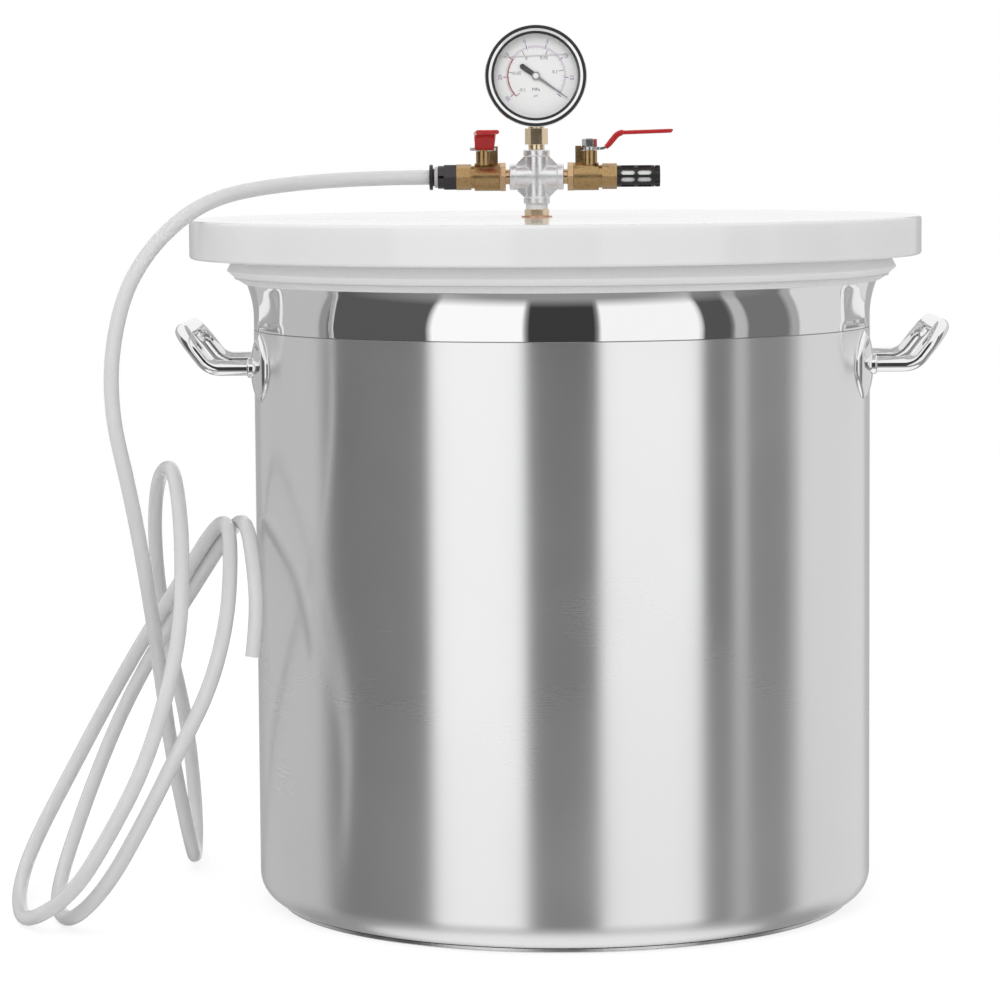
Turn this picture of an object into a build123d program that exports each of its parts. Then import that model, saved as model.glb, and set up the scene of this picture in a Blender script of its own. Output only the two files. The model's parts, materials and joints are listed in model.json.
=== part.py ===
from build123d import *
import math
import os

# A vacuum degassing chamber: a stainless stock pot with a silicone rim gasket and a thick clear-cast acrylic lid.
# The lid carries a four-way cross with a filled pressure gauge, two small ball valves, a silencer and a hose.
# Millimetres, +Z up. The origin is on the pot's axis at the floor, and the gauge faces -Y.

# ---------------------------------------------------------------- pot, handles and lid
pot_radius = 200.0
pot_wall = 1.2
pot_corner_radius = 18.0
rim_height = 409.2
rim_width = 12.0
rim_bend_radius = 3.0
polish_line_height = 375.0
polish_line_width = 1.0
polish_line_depth = 0.3
base_disc_inset = 14.0
base_disc_thickness = 2.5
base_disc_edge_radius = 1.0

handle_rod_diameter = 10.0
handle_arm_spacing = 102.0
handle_drop = 57.2
handle_rise = 23.0
handle_knee_stand = 25.0
handle_bar_stand = 43.0
handle_bend_radius = 14.0
handle_plate_height = 42.0
handle_plate_width = 23.0
handle_plate_thickness = 1.8
handle_plate_tip_radius = 3.0
handle_boss_height = 23.0
handle_boss_width = 15.0
handle_boss_stand = 0.5
handle_boss_edge_radius = 1.5

gasket_height = 11.8
gasket_overlap_inside = 4.0
gasket_lip_reach = 5.0
gasket_shoulder_reach = 2.0
gasket_skirt_drop = 9.7
gasket_groove_depth = 2.5
gasket_groove_width = 4.0
gasket_clearance = 0.3
gasket_lip_radius = 1.0

lid_overhang = 37.0
lid_thickness = 25.0
lid_edge_radius = 2.0
lid_shift = -4.0
port_place = -15.5

# ---------------------------------------------------------------- threads, clearances and the lid port
small_thread_diameter = 9.7
large_thread_diameter = 13.1
thread_clearance = 0.05
thread_depth = 7.5
port_depth = 8.5
passage_diameter = 5.0

washer_diameter = 20.0
washer_thickness = 0.8
washer_clearance = 0.1
nipple_hex = 14.0
nipple_hex_height = 4.2
nipple_tail_length = 16.0
tape_diameter = 14.4
tape_height = 3.5

# ---------------------------------------------------------------- four-way cross
cross_reach = 17.5
cross_barrel_diameter = 14.4
cross_collar_diameter = 17.0
cross_collar_length = 4.4
cross_collar_bevel = 0.5
cross_web_thickness = 2.4

# ---------------------------------------------------------------- ball valves, measured from the cross's centre
valve_neck_length = 2.5
valve_collar_across = 17.0
valve_collar_length = 4.0
valve_stem_place = 34.3
valve_chamber_diameter = 18.0
valve_waist_diameter = 14.8
valve_waist_length = 2.2
valve_end_across = 15.4
valve_end_length = 9.6
valve_reach = 52.0
valve_mouth_diameter = 14.2
valve_neck_diameter = 10.0
valve_neck_height = 16.8
ball_diameter = 11.6
ball_clearance = 0.1
ball_chamber_clearance = 0.5
ball_chamber_end_gap = 0.4
seat_bore = 6.8
seat_length = 3.16
stem_diameter = 5.0
stem_clearance = 0.05
stem_tang_thickness = 2.0
stem_tang_depth = 2.0
stem_tang_gap = 0.1
stem_thread_show = 0.3
packing_diameter = 7.8
packing_height = 3.0
stop_lug_place = 7.2
stop_lug_length = 4.0
stop_lug_width = 4.3
stop_lug_top = 19.8
lever_plate_lift = 0.2
lever_plate_diameter = 17.8
lever_thickness = 2.0
lever_width = 12.4
lever_bend_place = 9.5
lever_rise = 11.0
lever_slope = 50.0
lever_reach = 53.8
lever_travel = 94.0
lever_stop_clearance = 1.0
lever_hub_clearance = 0.3
grip_thickness = 3.4
grip_width = 15.0
grip_slope_share = 0.6
grip_edge_bevel = 0.8
grip_corner_radius = 3.75
nut_across = 8.6
nut_height = 5.2
nut_thread_diameter = 4.6

# ---------------------------------------------------------------- hose fitting, measured from the valve's end face
hose_diameter = 9.5
hose_bore = 6.5
hose_clearance = 0.08
fitting_hex = 16.0
fitting_hex_length = 8.0
fitting_round_diameter = 15.0
fitting_round_length = 4.0
fitting_tube_stop = 1.0
fitting_bore_length = 2.0
fitting_seal_length = 2.4
fitting_seal_diameter = 12.4
fitting_cavity_diameter = 13.2
grab_ring_thickness = 0.6
grab_ring_clearance = 0.1
grab_ring_gap = 0.2
grab_ring_teeth = 8
grab_tooth_length = 0.9
grab_tooth_gap = 0.6
collar_gap = 1.2
collar_diameter = 13.5
collar_length = 2.2
collar_sleeve_diameter = 11.5
release_flange_diameter = 16.5
release_flange_thickness = 2.2
release_sleeve_diameter = 11.3
release_travel = 1.0
release_gap = 0.1
release_edge_radius = 0.6

# ---------------------------------------------------------------- silencer, measured from the valve's end face
silencer_length = 28.0
silencer_diameter = 14.0
silencer_wall = 1.6
silencer_window_length = 9.1
silencer_window_width = 3.6
silencer_window_gap = 1.6
silencer_window_start = 2.5
silencer_rows = 8
silencer_cap_length = 3.2
silencer_groove_width = 0.6
silencer_groove_depth = 0.6
silencer_end_radius = 0.8
silencer_cap_notches = 12
silencer_cap_notch_width = 1.4
silencer_cap_notch_depth = 0.5
element_bore = 6.0

# ---------------------------------------------------------------- gauge
gauge_height = 64.8
gauge_case_diameter = 62.0
gauge_case_wall = 0.8
gauge_case_edge_radius = 2.0
gauge_front = 21.0
gauge_back = 10.0
gauge_bezel_length = 8.0
gauge_bezel_overhang = 1.8
gauge_sight_inset = 2.5
gauge_bezel_lip = 1.2
gauge_bezel_round = 2.5
gauge_bezel_inner_round = 0.5
gauge_window_clearance = 0.05
gauge_window_thickness = 2.6
gauge_dial_inset = 2.0
gauge_dial_thickness = 0.6
gauge_dial_depth = 6.5
gauge_dial_hole = 3.0
gauge_stem_hex = 13.0
gauge_stem_hex_height = 10.4
gauge_stem_neck_diameter = 10.4
gauge_stem_neck_height = 3.3
gauge_socket_width = 11.0
gauge_socket_height = 13.0
fill_plug_diameter = 10.0
fill_plug_height = 3.0
fill_plug_neck_diameter = 8.0
fill_plug_neck_length = 3.0
pointer_length = 21.0
pointer_tail = 9.0
pointer_width = 1.6
pointer_thickness = 0.5
pointer_tip_width = 0.4
pointer_taper_place = 14.7
pointer_lift = 0.6
pointer_hub_diameter = 6.0
pointer_hub_height = 1.6
pointer_weight_diameter = 4.4
pointer_rest_angle = -33.0
arbor_diameter = 1.6
arbor_clearance = 0.05
movement_front = 11.5
movement_plate_width = 18.0
movement_plate_height = 12.0
movement_plate_thickness = 1.0
movement_plate_radius = 2.5
movement_pillar_diameter = 2.6
movement_pillar_length = 5.0
movement_pillar_spacing = 13.0
movement_leg_width = 10.0
movement_foot_length = 8.0
bourdon_case_gap = 7.2
bourdon_thickness = 3.0
bourdon_width = 8.0
bourdon_tip_turn = 190.0

# ---------------------------------------------------------------- places worked out from the sizes above
rim_under = rim_height - pot_wall
rim_reach = pot_radius + rim_width
handle_height = rim_height - handle_drop
handle_boss_reach = pot_radius + handle_boss_stand
lid_radius = pot_radius + lid_overhang
lid_under = rim_height + gasket_height
lid_top = lid_under + lid_thickness
washer_top = lid_top + washer_thickness
nipple_top = washer_top + nipple_hex_height
cross_foot = nipple_top + tape_height
cross_height = cross_foot + cross_reach
valve_start = cross_reach + valve_neck_length
chamber_start = valve_start + valve_collar_length
cavity_start = valve_stem_place - ball_diameter / 2 - ball_chamber_end_gap
lever_plate_foot = valve_neck_height + lever_plate_lift
lever_plate_top = lever_plate_foot + lever_thickness
fitting_end = fitting_hex_length + fitting_round_length
seal_start = fitting_tube_stop + fitting_bore_length
seal_end = seal_start + fitting_seal_length
gauge_centre = cross_height + gauge_height
dial_front = gauge_front - gauge_dial_depth
movement_back = movement_front - 2 * movement_plate_thickness - movement_pillar_length
case_radius = gauge_case_diameter / 2
case_inner_radius = case_radius - gauge_case_wall
bourdon_radius = case_inner_radius - bourdon_case_gap
socket_foot = -math.sqrt(case_inner_radius**2 - (gauge_socket_width / 2) ** 2)
socket_top = socket_foot + gauge_socket_height


# ---------------------------------------------------------------- shared forms
def rounded_face(points, rounds=None):
    """A flat outline through the points. rounds gives a radius to corners, by their place in the list."""
    face = make_face(Polyline(*points, close=True))
    for place, radius in (rounds or {}).items():
        corner = face.vertices().sort_by_distance(Vector(*points[place]))[0]
        face = fillet(corner, radius)
    return face


def turned_up(points, rounds=None):
    """A solid turned about Z from (radius, height) points."""
    return revolve(Plane.XZ * rounded_face(points, rounds), Axis.Z)


def turned_along(points, rounds=None):
    """A solid turned about X from (along, radius) points."""
    return revolve(rounded_face(points, rounds), Axis.X)


def rod_up(diameter, low, high):
    """An upright round rod on the Z axis."""
    return Pos(0, 0, low) * extrude(Circle(diameter / 2), high - low)


def rod_along(diameter, start, end):
    """A round rod on the X axis."""
    return extrude(Plane.YZ.offset(start) * Circle(diameter / 2), end - start)


def ring_up(outer, inner, low, high):
    """An upright ring on the Z axis."""
    return rod_up(outer, low, high) - rod_up(inner, low, high)


def ring_along(outer, inner, start, end):
    """A ring on the X axis."""
    return rod_along(outer, start, end) - rod_along(inner, start, end)


def prism_along(across, sides, start, end):
    """A bar on the X axis whose section is a regular polygon with a corner to the front."""
    section = RegularPolygon(across / 2, sides, major_radius=False)
    return extrude(Plane.YZ.offset(start) * section, end - start)


def prism_up(across, sides, low, high):
    """An upright bar on the Z axis whose section is a regular polygon."""
    return Pos(0, 0, low) * extrude(RegularPolygon(across / 2, sides, major_radius=False), high - low)


def block(low, high):
    """A box between two opposite corners."""
    size = [top - bottom for bottom, top in zip(low, high)]
    return Pos(*low) * Box(*size, align=(Align.MIN, Align.MIN, Align.MIN))


def mirrored(solid):
    """The same piece for the other side."""
    return mirror(solid, about=Plane.YZ)


# ---------------------------------------------------------------- pot
def make_stock_pot():
    """Deep-drawn pot: a flat bottom, a rounded corner, a straight wall and a flat rim turned outwards."""
    inner_radius = pot_radius - pot_wall
    bottom = base_disc_thickness
    points = [
        (0, bottom),
        (pot_radius, bottom),
        (pot_radius, rim_under),
        (rim_reach, rim_under),
        (rim_reach, rim_height),
        (inner_radius, rim_height),
        (inner_radius, bottom + pot_wall),
        (0, bottom + pot_wall),
    ]
    rounds = {
        1: pot_corner_radius,
        2: rim_bend_radius,
        5: rim_bend_radius + pot_wall,
        6: pot_corner_radius - pot_wall,
    }
    half_line = polish_line_width / 2
    line = ring_up(
        2 * (pot_radius + polish_line_depth),
        2 * (pot_radius - polish_line_depth),
        polish_line_height - half_line,
        polish_line_height + half_line,
    )
    return turned_up(points, rounds) - line


def make_base_disc():
    """Heat-spreading disc bonded under the pot."""
    radius = pot_radius - base_disc_inset
    points = [(0, 0), (radius, 0), (radius, base_disc_thickness), (0, base_disc_thickness)]
    return turned_up(points, {1: base_disc_edge_radius})


def make_handle():
    """Bent rod handle on the +X side: two arms, each with a knee, and a crossbar."""
    half = handle_arm_spacing / 2
    knee = pot_radius + handle_knee_stand
    bar = pot_radius + handle_bar_stand
    bar_height = handle_height + handle_rise
    path = FilletPolyline(
        (handle_boss_reach, -half, handle_height),
        (knee, -half, handle_height),
        (bar, -half, bar_height),
        (bar, half, bar_height),
        (knee, half, handle_height),
        (handle_boss_reach, half, handle_height),
        radius=handle_bend_radius,
    )
    section = Plane(path @ 0, z_dir=path % 0) * Circle(handle_rod_diameter / 2)
    return sweep(section, path)


def make_handle_plate(side):
    """Leaf-shaped plate welded to the wall, with a raised boss that carries one end of the rod."""
    half = handle_arm_spacing / 2
    turn = math.degrees(math.asin(half / pot_radius)) * side
    half_width = handle_plate_width / 2
    half_height = handle_plate_height / 2
    leaf = make_face(
        ThreePointArc((0, -half_height), (half_width, 0), (0, half_height))
        + ThreePointArc((0, half_height), (-half_width, 0), (0, -half_height))
    )
    leaf = fillet(leaf.vertices(), handle_plate_tip_radius)
    low = handle_height - handle_plate_height
    high = handle_height + handle_plate_height
    skin = ring_up(2 * (pot_radius + handle_plate_thickness), 2 * pot_radius, low, high)
    outline = Rot(0, 0, turn) * Pos(0, 0, handle_height) * extrude(Plane.YZ * leaf, pot_radius + rim_width)
    oval = Plane.YZ * Ellipse(handle_boss_width / 2, handle_boss_height / 2)
    boss = Pos(0, side * half, handle_height) * extrude(oval, handle_boss_reach)
    boss = fillet(boss.edges().sort_by(Axis.X)[-1], handle_boss_edge_radius)
    return (skin & outline) + (boss - rod_up(2 * pot_radius, low, high))


def make_rim_gasket():
    """Silicone seal that grips the pot's rim, with a pointed lip outside and a grooved face under the lid."""
    inner = pot_radius - gasket_overlap_inside
    skirt = pot_radius + rim_bend_radius + gasket_clearance
    middle = (inner + rim_reach) / 2
    half_groove = gasket_groove_width / 2
    points = [
        (inner, rim_height),
        (rim_reach, rim_height),
        (rim_reach, rim_under),
        (skirt, rim_under),
        (skirt, rim_height - gasket_skirt_drop),
        (rim_reach + gasket_lip_reach, rim_height),
        (rim_reach + gasket_shoulder_reach, lid_under),
        (middle + half_groove, lid_under),
        (middle, lid_under - gasket_groove_depth),
        (middle - half_groove, lid_under),
        (inner, lid_under),
    ]
    return turned_up(points, {5: gasket_lip_radius})


def make_lid():
    """Thick round plate with rounded edges and one tapped port."""
    points = [(0, lid_under), (lid_radius, lid_under), (lid_radius, lid_top), (0, lid_top)]
    plate = Pos(lid_shift, 0, 0) * turned_up(points, {1: lid_edge_radius, 2: lid_edge_radius})
    port = rod_up(large_thread_diameter + 2 * thread_clearance, lid_under, lid_top)
    return plate - Pos(port_place, 0, 0) * port


# ---------------------------------------------------------------- lid port and cross
def make_washer():
    """Flat copper washer between the lid and the nipple's hexagon."""
    return ring_up(washer_diameter, large_thread_diameter + 2 * washer_clearance, lid_top, washer_top)


def make_nipple():
    """Hex nipple: a large thread into the lid and a small thread into the cross."""
    body = prism_up(nipple_hex, 6, washer_top, nipple_top)
    body += rod_up(large_thread_diameter, lid_top - nipple_tail_length, washer_top)
    body += rod_up(small_thread_diameter, nipple_top, cross_foot + thread_depth)
    return body - rod_up(passage_diameter, lid_top - nipple_tail_length, cross_foot + thread_depth)


def make_cross():
    """Cast four-way cross: two crossing barrels with a collar at each port and thin webs in the corners."""
    collar_half = cross_collar_diameter / 2
    web_reach = cross_reach - cross_collar_length
    body = None
    bores = None
    for quarter in range(4):
        turn = Rot(0, 90 * quarter, 0)
        collar = rod_along(cross_collar_diameter, web_reach, cross_reach)
        collar = chamfer(collar.edges().filter_by(GeomType.CIRCLE), cross_collar_bevel)
        corners = [(0, 0), (web_reach, 0), (web_reach, collar_half), (collar_half, web_reach), (0, web_reach)]
        web = make_face(Polyline(*corners, close=True))
        arm = rod_along(cross_barrel_diameter, 0, web_reach) + collar
        arm += extrude(Plane.XZ.offset(-cross_web_thickness / 2) * web, cross_web_thickness)
        hole = rod_along(small_thread_diameter + 2 * thread_clearance, cross_reach - port_depth, cross_reach)
        hole += rod_along(passage_diameter, 0, cross_reach - port_depth)
        body = turn * arm if body is None else body + turn * arm
        bores = turn * hole if bores is None else bores + turn * hole
    return body - bores


# ---------------------------------------------------------------- ball valve, as it sits on the +X side
def make_valve_body():
    """Ball chamber with the stem's neck, the lever's stop lug and an eight-sided female end."""
    end_start = valve_reach - valve_end_length
    waist_start = end_start - valve_waist_length
    bored = small_thread_diameter + 2 * thread_clearance
    seat_end = 2 * valve_stem_place - cavity_start
    body = rod_along(valve_chamber_diameter, chamber_start, waist_start)
    body += rod_along(valve_waist_diameter, waist_start, end_start)
    body += prism_along(valve_end_across, 8, end_start, valve_reach)
    neck = Pos(valve_stem_place, 0, 0) * rod_up(valve_neck_diameter, 0, valve_neck_height)
    lug_outer = valve_stem_place - stop_lug_place - stop_lug_length / 2
    half_lug = stop_lug_width / 2
    foot = block((lug_outer, -half_lug, 0), (valve_stem_place, half_lug, valve_neck_height))
    lug = block((lug_outer, -half_lug, 0), (lug_outer + stop_lug_length, half_lug, stop_lug_top))
    body = body + neck + foot + lug
    body -= rod_along(valve_mouth_diameter + 2 * thread_clearance, chamber_start, cavity_start)
    body -= rod_along(ball_diameter + 2 * ball_chamber_clearance, cavity_start, seat_end)
    body -= rod_along(passage_diameter, seat_end, valve_reach)
    body -= rod_along(bored, valve_reach - port_depth, valve_reach)
    body -= Pos(valve_stem_place, 0, 0) * rod_up(stem_diameter + 2 * stem_clearance, 0, valve_neck_height)
    pocket = rod_up(packing_diameter, valve_neck_height - packing_height, valve_neck_height)
    return body - Pos(valve_stem_place, 0, 0) * pocket


def make_valve_end():
    """Male end: a thread into the cross, an eight-sided collar and a threaded plug that closes the chamber."""
    end = rod_along(small_thread_diameter, cross_reach - thread_depth, valve_start)
    end += prism_along(valve_collar_across, 8, valve_start, chamber_start)
    end += rod_along(valve_mouth_diameter, chamber_start, cavity_start)
    return end - rod_along(passage_diameter, cross_reach - thread_depth, cavity_start)


def make_ball_seat():
    """Seat ring on the cross side of the ball, with a conical face."""
    reach = valve_stem_place - cavity_start
    cone_sum = (ball_diameter / 2 + ball_clearance) * math.sqrt(2)
    bore = seat_bore / 2
    lip = reach - seat_length
    outer = ball_diameter / 2 + ball_chamber_clearance
    points = [
        (-reach, bore),
        (bore - cone_sum, bore),
        (-lip, cone_sum - lip),
        (-lip, outer),
        (-reach, outer),
    ]
    return Pos(valve_stem_place, 0, 0) * turned_along(points)


def make_packing():
    """Soft ring that seals the stem in the neck."""
    ring = ring_up(
        packing_diameter,
        stem_diameter + 2 * stem_clearance,
        valve_neck_height - packing_height,
        valve_neck_height,
    )
    return Pos(valve_stem_place, 0, 0) * ring


def make_ball():
    """Ball bored along the pipe, with a slot on top for the stem's tang."""
    radius = ball_diameter / 2
    ball = Sphere(radius) - rod_along(passage_diameter, -radius, radius)
    half_slot = stem_tang_thickness / 2 + stem_clearance
    slot = block((-radius, -half_slot, radius - stem_tang_depth - stem_tang_gap), (radius, half_slot, radius))
    return Pos(valve_stem_place, 0, 0) * (ball - slot)


def make_stem():
    """Stem: a flat tang in the ball's slot, a round shaft in the neck and a thread for the nut."""
    radius = ball_diameter / 2
    half = stem_tang_thickness / 2
    shaft = rod_up(stem_diameter, radius, lever_plate_foot)
    tang = rod_up(stem_diameter, radius - stem_tang_depth, radius)
    tang &= block((-radius, -half, 0), (radius, half, radius))
    thread = rod_up(nut_thread_diameter, lever_plate_foot, lever_plate_top + nut_height + stem_thread_show)
    return Pos(valve_stem_place, 0, 0) * (shaft + tang + thread)


def lever_side(thickness, end, slope_share=1.0):
    """Side outline of the bent strip as (along, height) points, from the stem or from part way up its slope."""
    half = thickness / 2
    shift = half * math.tan(math.radians(lever_slope / 2))
    middle = lever_plate_foot + lever_thickness / 2
    run = lever_rise / math.tan(math.radians(lever_slope))
    knee = lever_bend_place + run
    high = middle + lever_rise
    if slope_share < 1.0:
        across = Vector(half * math.sin(math.radians(lever_slope)), -half * math.cos(math.radians(lever_slope)))
        start = Vector(knee - slope_share * run, high - slope_share * lever_rise)
        under = [tuple(start + across)[:2]]
        over = [tuple(start - across)[:2]]
    else:
        under = [(0, middle - half), (lever_bend_place + shift, middle - half)]
        over = [(0, middle + half), (lever_bend_place - shift, middle + half)]
    blade = [(knee + shift, high - half), (end, high - half), (end, high + half), (knee - shift, high + half)]
    return [*under, *blade, *reversed(over)]


def lever_strip(thickness, width, end, slope_share=1.0):
    """The bent strip as a solid, for the lever or for the grip round it."""
    side = make_face(Polyline(*lever_side(thickness, end, slope_share), close=True))
    return extrude(Plane.XZ.offset(-width / 2) * side, width)


def make_lever():
    """Pressed lever: a round plate notched for the stop lug, a slope and a flat blade."""
    blade_end = lever_reach - (grip_thickness - lever_thickness) / 2
    strip = lever_strip(lever_thickness, lever_width, blade_end)
    plate = rod_up(lever_plate_diameter, lever_plate_foot, lever_plate_top)
    lug_inner = stop_lug_place - stop_lug_length / 2
    hub_radius = lug_inner - lever_hub_clearance
    lug_half_turn = math.degrees(math.atan(stop_lug_width / 2 / lug_inner)) + lever_stop_clearance
    first = 180 - lug_half_turn
    last = 180 + lever_travel + lug_half_turn
    reach = lever_plate_diameter
    fan = [(0, 0)]
    for step in range(5):
        angle = math.radians(first + (last - first) * step / 4)
        fan.append((reach * math.cos(angle), reach * math.sin(angle)))
    notch = Pos(0, 0, lever_plate_foot) * extrude(make_face(Polyline(*fan, close=True)), lever_thickness)
    notch -= rod_up(2 * hub_radius, lever_plate_foot, lever_plate_top)
    lever = plate + strip - notch - rod_up(nut_thread_diameter, lever_plate_foot, lever_plate_top)
    return Pos(valve_stem_place, 0, 0) * lever


def make_grip():
    """Dipped sleeve round the lever's blade and the upper part of its slope."""
    sleeve = lever_strip(grip_thickness, grip_width, lever_reach, grip_slope_share)
    end_corners = sleeve.edges().filter_by(Axis.Z)
    sleeve = fillet(end_corners, grip_corner_radius)
    levels = sleeve.edges().group_by(Axis.Z)
    rims = [edge for edge in levels[-1] + levels[0] if edge.center().X > lever_reach - grip_width]
    sleeve = chamfer(rims, grip_edge_bevel) if rims else sleeve
    blade_end = lever_reach - (grip_thickness - lever_thickness) / 2
    return Pos(valve_stem_place, 0, 0) * (sleeve - lever_strip(lever_thickness, lever_width, blade_end))


def make_nut():
    """Hex nut that holds the lever on the stem."""
    nut = prism_up(nut_across, 6, lever_plate_top, lever_plate_top + nut_height)
    nut -= rod_up(nut_thread_diameter + 2 * thread_clearance, lever_plate_top, lever_plate_top + nut_height)
    return Pos(valve_stem_place, 0, 0) * nut


# ---------------------------------------------------------------- hose fitting, on the left valve
def make_fitting_body():
    """Push-in body: a thread into the valve, a hexagon, a round nose and a stepped cavity for the parts."""
    bore = hose_diameter + 2 * hose_clearance
    body = rod_along(small_thread_diameter, -thread_depth, 0)
    body += prism_along(fitting_hex, 6, 0, fitting_hex_length)
    body += rod_along(fitting_round_diameter, fitting_hex_length, fitting_end)
    body -= rod_along(passage_diameter, -thread_depth, fitting_tube_stop)
    body -= rod_along(bore, fitting_tube_stop, seal_start)
    body -= rod_along(fitting_seal_diameter, seal_start, seal_end)
    return body - rod_along(fitting_cavity_diameter, seal_end, fitting_end)


def make_tube_seal():
    """Seal ring round the hose inside the fitting."""
    return ring_along(fitting_seal_diameter, hose_diameter, seal_start, seal_end)


def make_grab_ring():
    """Thin toothed ring that bites the hose."""
    start = seal_end + grab_ring_gap
    end = start + grab_ring_thickness
    outer = fitting_cavity_diameter - 2 * grab_ring_clearance
    ring = ring_along(outer, hose_diameter + grab_ring_clearance, start, end)
    half_gap = grab_tooth_gap / 2
    gap = block((start, -half_gap, 0), (end, half_gap, hose_diameter / 2 + grab_tooth_length))
    for step in range(grab_ring_teeth):
        ring -= Rot(360 / grab_ring_teeth * step, 0, 0) * gap
    return ring


def make_collar():
    """Pale collar pressed into the body's mouth: it guides the release ring."""
    start = seal_end + collar_gap
    collar = rod_along(fitting_cavity_diameter, start, fitting_end)
    collar += rod_along(collar_diameter, fitting_end, fitting_end + collar_length)
    return collar - rod_along(collar_sleeve_diameter, start, fitting_end + collar_length)


def make_release_ring():
    """Release ring: a sleeve round the hose and a flange that is pushed to free it."""
    sleeve_start = seal_end + collar_gap + release_travel
    flange_start = fitting_end + collar_length + release_travel + release_gap
    flange_end = flange_start + release_flange_thickness
    bore = hose_diameter / 2 + hose_clearance
    sleeve = release_sleeve_diameter / 2
    flange = release_flange_diameter / 2
    points = [
        (sleeve_start, bore),
        (flange_end, bore),
        (flange_end, flange),
        (flange_start, flange),
        (flange_start, sleeve),
        (sleeve_start, sleeve),
    ]
    return turned_along(points, {2: release_edge_radius, 3: release_edge_radius})


# ---------------------------------------------------------------- silencer, on the right valve
def make_silencer_cage():
    """Moulded cage: a thread, a slotted barrel with two rings of windows, a groove and a closed cap."""
    radius = silencer_diameter / 2
    inner = 2 * (radius - silencer_wall)
    cap_start = silencer_length - silencer_cap_length
    cage = rod_along(small_thread_diameter, -thread_depth, 0) + rod_along(silencer_diameter, 0, silencer_length)
    cage = fillet(cage.edges().sort_by(Axis.X)[-1], silencer_end_radius)
    cage -= rod_along(passage_diameter, -thread_depth, silencer_wall)
    cage -= rod_along(inner, silencer_wall, cap_start)
    cage -= ring_along(
        silencer_diameter + silencer_groove_depth,
        silencer_diameter - 2 * silencer_groove_depth,
        cap_start - silencer_groove_width,
        cap_start,
    )
    first = silencer_window_start + silencer_window_length / 2
    pitch = silencer_window_length + silencer_window_gap
    for column in range(2):
        window = Pos(first + pitch * column, 0) * SlotOverall(silencer_window_length, silencer_window_width)
        cutter = extrude(window, silencer_diameter)
        for row in range(silencer_rows):
            cage -= Rot(360 / silencer_rows * (row + 0.5), 0, 0) * cutter
    half_notch = silencer_cap_notch_width / 2
    notch_floor = radius - silencer_cap_notch_depth
    notch = block((cap_start, -half_notch, notch_floor), (silencer_length, half_notch, radius))
    for step in range(silencer_cap_notches):
        cage -= Rot(360 / silencer_cap_notches * step, 0, 0) * notch
    return cage


def make_silencer_element():
    """Porous white sleeve inside the cage, closed at its far end."""
    outer = silencer_diameter - 2 * silencer_wall
    end = silencer_length - silencer_cap_length
    return rod_along(outer, silencer_wall, end) - rod_along(element_bore, silencer_wall, end - silencer_wall)


# ---------------------------------------------------------------- gauge, about its own axis, which runs along Y
def facing(section, front, back):
    """A solid with a flat section that faces -Y, between two distances in front of the stem's axis."""
    return extrude(Plane.XZ.offset(back) * section, front - back)


def disc_facing(diameter, front, back):
    """A round disc on the gauge's axis."""
    return facing(Circle(diameter / 2), front, back)


def make_gauge_case():
    """Drawn case: a cup open to the front, with a hole below for the stem and one above for the plug."""
    lip = gauge_front - gauge_bezel_length / 2
    case = disc_facing(gauge_case_diameter, lip, -gauge_back)
    case = fillet(case.edges().sort_by(Axis.Y)[-1], gauge_case_edge_radius)
    case -= disc_facing(2 * case_inner_radius, lip, gauge_case_wall - gauge_back)
    case -= rod_up(gauge_stem_neck_diameter + 2 * thread_clearance, -gauge_case_diameter, 0)
    return case - rod_up(fill_plug_neck_diameter, 0, gauge_case_diameter)


def make_gauge_bezel():
    """Crimped bezel ring with a rounded front."""
    outer = case_radius + gauge_bezel_overhang
    sight = case_radius - gauge_sight_inset
    back = gauge_front - gauge_bezel_length
    points = [
        (case_radius, back),
        (outer, back),
        (outer, gauge_front),
        (sight, gauge_front),
        (sight, gauge_front - gauge_bezel_lip),
        (case_radius, gauge_front - gauge_bezel_lip),
    ]
    ring = revolve(rounded_face(points, {2: gauge_bezel_round, 3: gauge_bezel_inner_round}), Axis.Y)
    return mirror(ring, about=Plane.XZ)


def make_gauge_window():
    """Clear disc held by the bezel."""
    front = gauge_front - gauge_bezel_lip
    diameter = gauge_case_diameter - 2 * gauge_window_clearance
    return disc_facing(diameter, front, front - gauge_window_thickness)


def make_gauge_dial():
    """Flat dial plate with a hole for the pointer's arbor."""
    back = dial_front - gauge_dial_thickness
    diameter = gauge_case_diameter - 2 * gauge_dial_inset
    return disc_facing(diameter, dial_front, back) - disc_facing(gauge_dial_hole, dial_front, back)


def make_gauge_stem():
    """Brass stem: a thread into the cross, a neck, a hexagon and the socket block inside the case."""
    thread_foot = cross_reach - thread_depth
    neck_top = cross_reach + gauge_stem_neck_height
    hex_top = neck_top + gauge_stem_hex_height
    half = gauge_socket_width / 2
    inside = gauge_height + socket_foot
    stem = rod_up(small_thread_diameter, thread_foot, cross_reach)
    stem += rod_up(gauge_stem_neck_diameter, cross_reach, inside)
    stem += prism_up(gauge_stem_hex, 6, neck_top, hex_top)
    stem += block((-half, -half, inside), (half, half, inside + gauge_socket_height))
    return stem - rod_up(passage_diameter / 2, thread_foot, inside + gauge_socket_height / 2)


def make_fill_plug():
    """Rubber plug in the filling hole on top of the case."""
    seat = math.sqrt(case_radius**2 - (fill_plug_diameter / 2) ** 2)
    crown = case_radius + fill_plug_height
    head = rod_up(fill_plug_diameter, seat - fill_plug_height, crown)
    head = fillet(head.edges().sort_by(Axis.Z)[-1], fill_plug_height / 3)
    head -= disc_facing(gauge_case_diameter, gauge_front, -gauge_back)
    neck_foot = case_radius - fill_plug_neck_length
    return head + rod_up(fill_plug_neck_diameter, neck_foot, crown - fill_plug_height / 2)


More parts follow.
